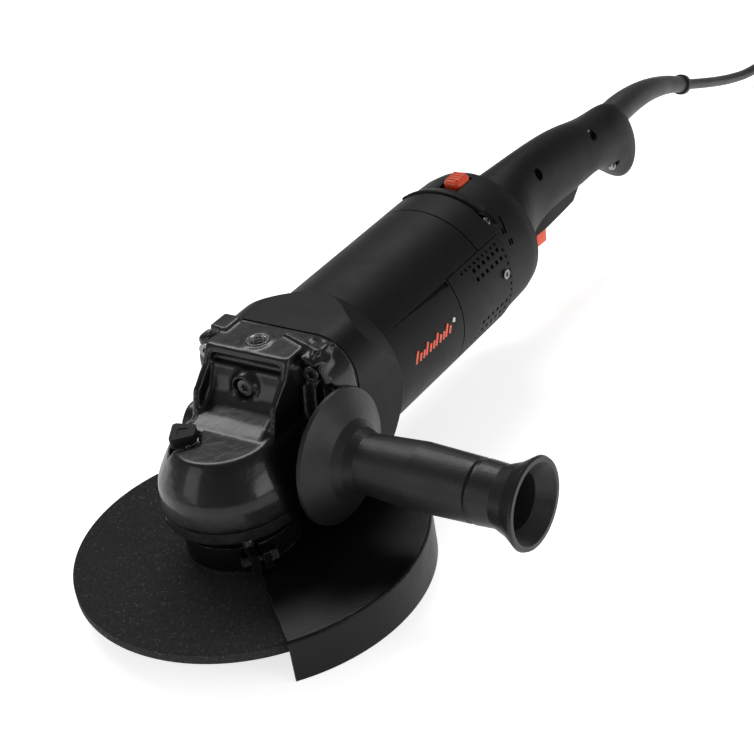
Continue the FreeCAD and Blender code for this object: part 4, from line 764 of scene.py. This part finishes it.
add_block(cast_head, (1.8, 12.0, 2.2), (41.0, -33.0, 45.6), 0.6, turned_about("Z", -60))
add_turned(cast_head, [(-2, 5.3), (-2, 8.2), (0.9, 7.6), (0.9, 5.3), (-2, 5.3)], (39.7, 0, 46), (0, 0, 1), 32)
add_turned(cast_head, [(-3, 5.6), (-3, 8.6), (1.2, 7.6), (1.2, 5.6), (-3, 5.6)], (22.6, 0, 28),
           (-1, 0, 0), 32)
print("cast details added:", len(cast_head.faces), "faces")

# %% Fuse and melt the casting
HEAD_VOXEL = 0.95
HEAD_ROUNDS = 4


def fused(name, shape, voxel, rounds):
    """Fuse overlapping solids by a voxel remesh, then smooth the skin some rounds."""
    rough = bpy.data.meshes.new(name + "_rough")
    shape.to_mesh(rough)
    shape.free()
    lump = add_object(name + "_rough", rough)
    remesh = lump.modifiers.new("fuse", "REMESH")
    remesh.mode = "VOXEL"
    remesh.voxel_size = voxel
    remesh.adaptivity = 0.0
    skin = bmesh.new()
    skin.from_mesh(evaluated_mesh(lump))
    bpy.data.objects.remove(lump)
    for _ in range(rounds):
        bmesh.ops.smooth_vert(skin, verts=skin.verts, factor=0.5, use_axis_x=True, use_axis_y=True,
                              use_axis_z=True)
    return skin


head_skin = fused("cast_head", cast_head, HEAD_VOXEL, HEAD_ROUNDS)
finish_piece("gear_head_casting", head_skin, enamel, replaced=("gear_housing",), sharp_deg=80,
             recalculate=False)

# %% [markdown]
# ## Threads in the handle holes
# The holes for the side handle are tapped. A thread seen from outside is a stack of bright
# rings, so a zigzag profile is spun into a liner for each hole.

# %% Thread liners
PITCH = 1.5
LINER_R, ROOT_R, CREST_R = 5.9, 5.0, 4.25
bright_thread = finish("bright_tapped_thread", grey(0.42), 0.2, "turned_marks", 1800.0, 0.00001, 0.2,
                       worn=grey(0.85), wear=0.3, patch=0.06, metal=1.0, soften=0.0002)


def thread_liner(name, base, axis, depth):
    shape = bmesh.new()
    profile = [(0.6, LINER_R), (0.6, 5.2), (0.0, ROOT_R)]
    for ring in range(int(depth / PITCH)):
        start = -PITCH * ring
        profile += [(start - 0.4, CREST_R), (start - 0.7, CREST_R), (start - 1.3, ROOT_R)]
    profile += [(-depth, LINER_R), (0.6, LINER_R)]
    add_turned(shape, profile, base, axis, 40)
    finish_piece(name, shape, bright_thread, sharp_deg=25)


thread_liner("top_hole_thread", (39.7, 0, 46.4), (0, 0, 1), 13.5)
thread_liner("left_hole_thread", (29.3, 43.6, -5.4), (0, 1, 0), 12.0)

# %% [markdown]
# ## Seams, scoops and vents of the body
# The motor housing and the rear housing meet in a ring seam, the side covers have a seam all
# round, and a shallow scoop widens backwards above each cover. The rear housing has a teardrop
# recess for a screw on each side, a few vent slots, and a pocket round the slider. A seam's
# profile starts just inside the skin and ends outside it; the ring seam stops at the covers.

# %% Cutting shapes for the seams and scoops
SEAM_HALF = 0.45
SEAM_OUT = 46
RING_SEAM_X, RING_SEAM_IN = 190.0, 42.7
RING_SEAM_ARCS = ((34.6, 145.4), (214.6, 325.4))
COVER_ENDS, COVER_END_IN = (156.9, 212.1), 42.8
COVER_MIDDLE_X = 184.5
COVER_EDGE_DEG = 34
SCOOP_CORNERS = [(92, 34.6, 43.6), (155.6, 33.6, 42.0), (155.6, 29.4, 43.3)]


def seam_profile(x, inside):
    front, rear = x - SEAM_HALF, x + SEAM_HALF
    return [(front, inside), (rear, inside), (rear, SEAM_OUT), (front, SEAM_OUT)]


seams = bmesh.new()
for start, stop in RING_SEAM_ARCS:
    add_arc(seams, seam_profile(RING_SEAM_X, RING_SEAM_IN), start, stop, 40)
for middle in (0, 180):
    for x in COVER_ENDS:
        add_arc(seams, seam_profile(x, COVER_END_IN), middle - 34.5, middle + 34.5, 24)
for side in (-1, 1):
    for level in (-COVER_EDGE_DEG, COVER_EDGE_DEG):
        centre = round_body(COVER_MIDDLE_X, level, 44.8, side)
        add_block(seams, (56, 0.8, 4.0), centre, 0, facing(level, side))

scoops = bmesh.new()
for side in (-1, 1):
    corners = [round_body(x, degrees, radius, side) for x, degrees, radius in SCOOP_CORNERS]
    base = scoops.faces.new([scoops.verts.new(corner) for corner in corners])
    extrude_face(scoops, base, round_body(0, 32, 4.0, side))
print("seams and scoops:", len(seams.faces) + len(scoops.faces), "faces")

# %% Cutting shapes for the rear housing
TEAR_X, TEAR_DEG = 214.5, 48
VENT_SLOTS = ((221.5, 36, 13.0), (217.4, 30, 7.0), (219.6, 29.4, 7.0), (218.0, 20, 7.0), (220.2, 19.4, 7.0))
rear_cuts = bmesh.new()
for side in (-1, 1):
    tear = (Matrix.Translation(round_body(TEAR_X, TEAR_DEG, 45.2, side)) @ facing(TEAR_DEG, side)
            @ turned_about("Z", 12) @ Matrix.Diagonal((4.4, 10.5, 5.0, 1)))
    bmesh.ops.create_uvsphere(rear_cuts, u_segments=32, v_segments=20, radius=1.0, matrix=tear)
    for x, level, long in VENT_SLOTS:
        add_block(rear_cuts, (1.6, long * 0.55, 5.0), round_body(x, level + 2.2, 43.0, side), 0.4,
                  facing(level + 2.2, side) @ turned_about("Z", side * 18), 2)
add_block(rear_cuts, (25, 17.5, 8.0), (231.0, 0, 45.4), 2.6, segments=4)
print("rear cuts:", len(rear_cuts.faces), "faces")

# %% [markdown]
# ## The body's two mouldings
# Each housing is carved in two rounds. The rear one also gets a rounded bead over its shoulder,
# a closed solid that sinks into the wall; it ends before the slider's travel begins.

# %% Carve the motor housing and the rear housing
BEAD = [(212.7, 42.2), (212.4, 43.6), (212.9, 44.5), (214.0, 44.8), (217.0, 44.0), (219.5, 43.0),
        (219.5, 41.4)]
motor_skin = carved("motor_seams", merged_copy("motor_housing"), seams)
motor_skin = carved("motor_scoops", motor_skin, scoops)
finish_piece("motor_housing_moulding", motor_skin, housing_nylon, replaced=("motor_housing",),
             sharp_deg=24, recalculate=False)
rear_skin = carved("rear_seams", merged_copy("rear_housing"), seams)
rear_skin = carved("rear_pockets", rear_skin, rear_cuts)
add_arc(rear_skin, BEAD, 54, 126, 48)
finish_piece("rear_housing_moulding", rear_skin, housing_nylon, replaced=("rear_housing",),
             sharp_deg=24, recalculate=False)

# %% [markdown]
# ## Side covers
# Each cover is a thin panel over the brushes, designed with its own block of vents. A row of
# small square holes is added along its upper edge, its lower edge and its rear end.

# %% Carve the side covers
HOLES_IN_ROW = 9
PANEL_R = 43.6


def vent_hole(shape, size, x, level, side):
    add_block(shape, (*size, 4.0), round_body(x, level, PANEL_R, side), 0, facing(level, side))


for side, name in ((-1, "right"), (1, "left")):
    holes = bmesh.new()
    for step in range(HOLES_IN_ROW):
        for level in (29.5, -29.5):
            vent_hole(holes, (1.7, 1.7), 169.0 + step * 4.4, level, side)
    for step in range(HOLES_IN_ROW):
        vent_hole(holes, (1.5, 1.9), 208.2, -22 + step * 5.5, side)
    panel = carved("panel_seams", merged_copy("brush_cover_" + name), seams)
    panel = carved("panel_holes", panel, holes)
    holes.free()
    finish_piece("side_cover_" + name, panel, housing_nylon,
                 replaced=("brush_cover_" + name,), sharp_deg=24, recalculate=False)

# %% [markdown]
# ## Screws in the teardrop recesses
# A pan-head screw sits low in each recess. It is turned in one piece, with a small round hollow
# where the driver goes.

# %% Rear screws
HEAD_R, HEAD_HIGH = 2.6, 1.3
PAN_HEAD = [(-2.0, 0.0), (-2.0, HEAD_R), (HEAD_HIGH * 0.45, HEAD_R), (HEAD_HIGH * 0.85, HEAD_R * 0.8),
            (HEAD_HIGH, HEAD_R * 0.45), (HEAD_HIGH * 0.35, HEAD_R * 0.38), (HEAD_HIGH * 0.2, 0.0)]
rear_screws = bmesh.new()
for side in (-1, 1):
    out = round_body(0, TEAR_DEG, 1.0, side)
    add_turned(rear_screws, PAN_HEAD, round_body(TEAR_X, 46, 40.2, side), out, 28)
finish_piece("rear_housing_screws", rear_screws, dark_zinc)

# %% [markdown]
# ## The slider on top
# The slider that frees the swivelling handle is a rounded orange pad with low grip ribs. It
# rides with the slide joint, so it is made on the slider's own body.

# %% The orange slider
slider = bmesh.new()
add_block(slider, (13.4, 11.6, 8.0), (231.6, 0, 40.9), 3.4, segments=6)
for step in range(4):
    add_block(slider, (1.0, 8.2, 0.9), (227.6 + step * 2.7, 0, 44.95), 0.4, segments=2)
finish_piece("swivel_lock_slider", slider, orange_nylon, "swivel_lock",
             ("swivel_lock_button",))

# %% [markdown]
# ## Orange inlay in the trigger
# A block of orange nylon is set across the trigger near its front and stands out a few
# millimetres below it. It rides with the trigger and slides between the handle's walls.

# %% The trigger's inlay
inlay = bmesh.new()
add_block(inlay, (13, 19.3, 9.5), (299.5, 0, -28.2), 1.6, turned_about("Y", 4), 3)
finish_piece("trigger_inlay", inlay, orange_nylon, "trigger")

# %% [markdown]
# ## Two coil springs
# The lock button and the trigger each press a coil spring. A copy of each spring, with a mesh of
# its own, is set on the body that holds its fixed end.


def shortening_spring(name, body):
    spring = finish_piece(name + "_coil", merged_copy(name), machined_steel, body, (name,),
                          recalculate=False)
    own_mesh(spring)


shortening_spring("spindle_lock_spring", "root")
shortening_spring("trigger_spring", "handle")

# %% [markdown]
# ## A plain mark on the side
# No maker's name is shown. A row of plain slanted orange bars and one small pale one stand in its
# place, so the side keeps its splash of colour without saying anything. Every third bar is tall.

# %% The slanted bars
BARS, BAR_STEP = 11, 3.3
BAR_TALL, BAR_SHORT = 7.2, 4.6
BAR_Y = -43.45
BAR_SLANT = turned_about("Y", 26)
mark = bmesh.new()
for step in range(BARS):
    tall = BAR_TALL if step % 3 == 0 else BAR_SHORT
    centre = (110.5 + step * BAR_STEP, BAR_Y, 3.6 - (BAR_TALL - tall) / 2)
    add_block(mark, (1.9, 0.5, tall), centre, 0.1, BAR_SLANT, 1)
finish_piece("side_mark_bars", mark, orange_nylon)
pale_bar = bmesh.new()
add_block(pale_bar, (2.4, 0.5, 2.4), (148.2, BAR_Y, 5.6), 0.1, BAR_SLANT, 1)
pale_print = finish("pale_print", grey(0.75), 0.5, scale=1400.0, depth=0.00001, shade=0.1,
                    worn=grey(0.5), wear=0.2)
finish_piece("side_mark_pale_bar", pale_bar, pale_print)
for used in (seams, scoops, rear_cuts):
    used.free()
print("body dressed")

# %% [markdown]
# ## Finish
# The last line brings the scene up to date.

# %% Bring the scene up to date
bpy.context.view_layer.update()
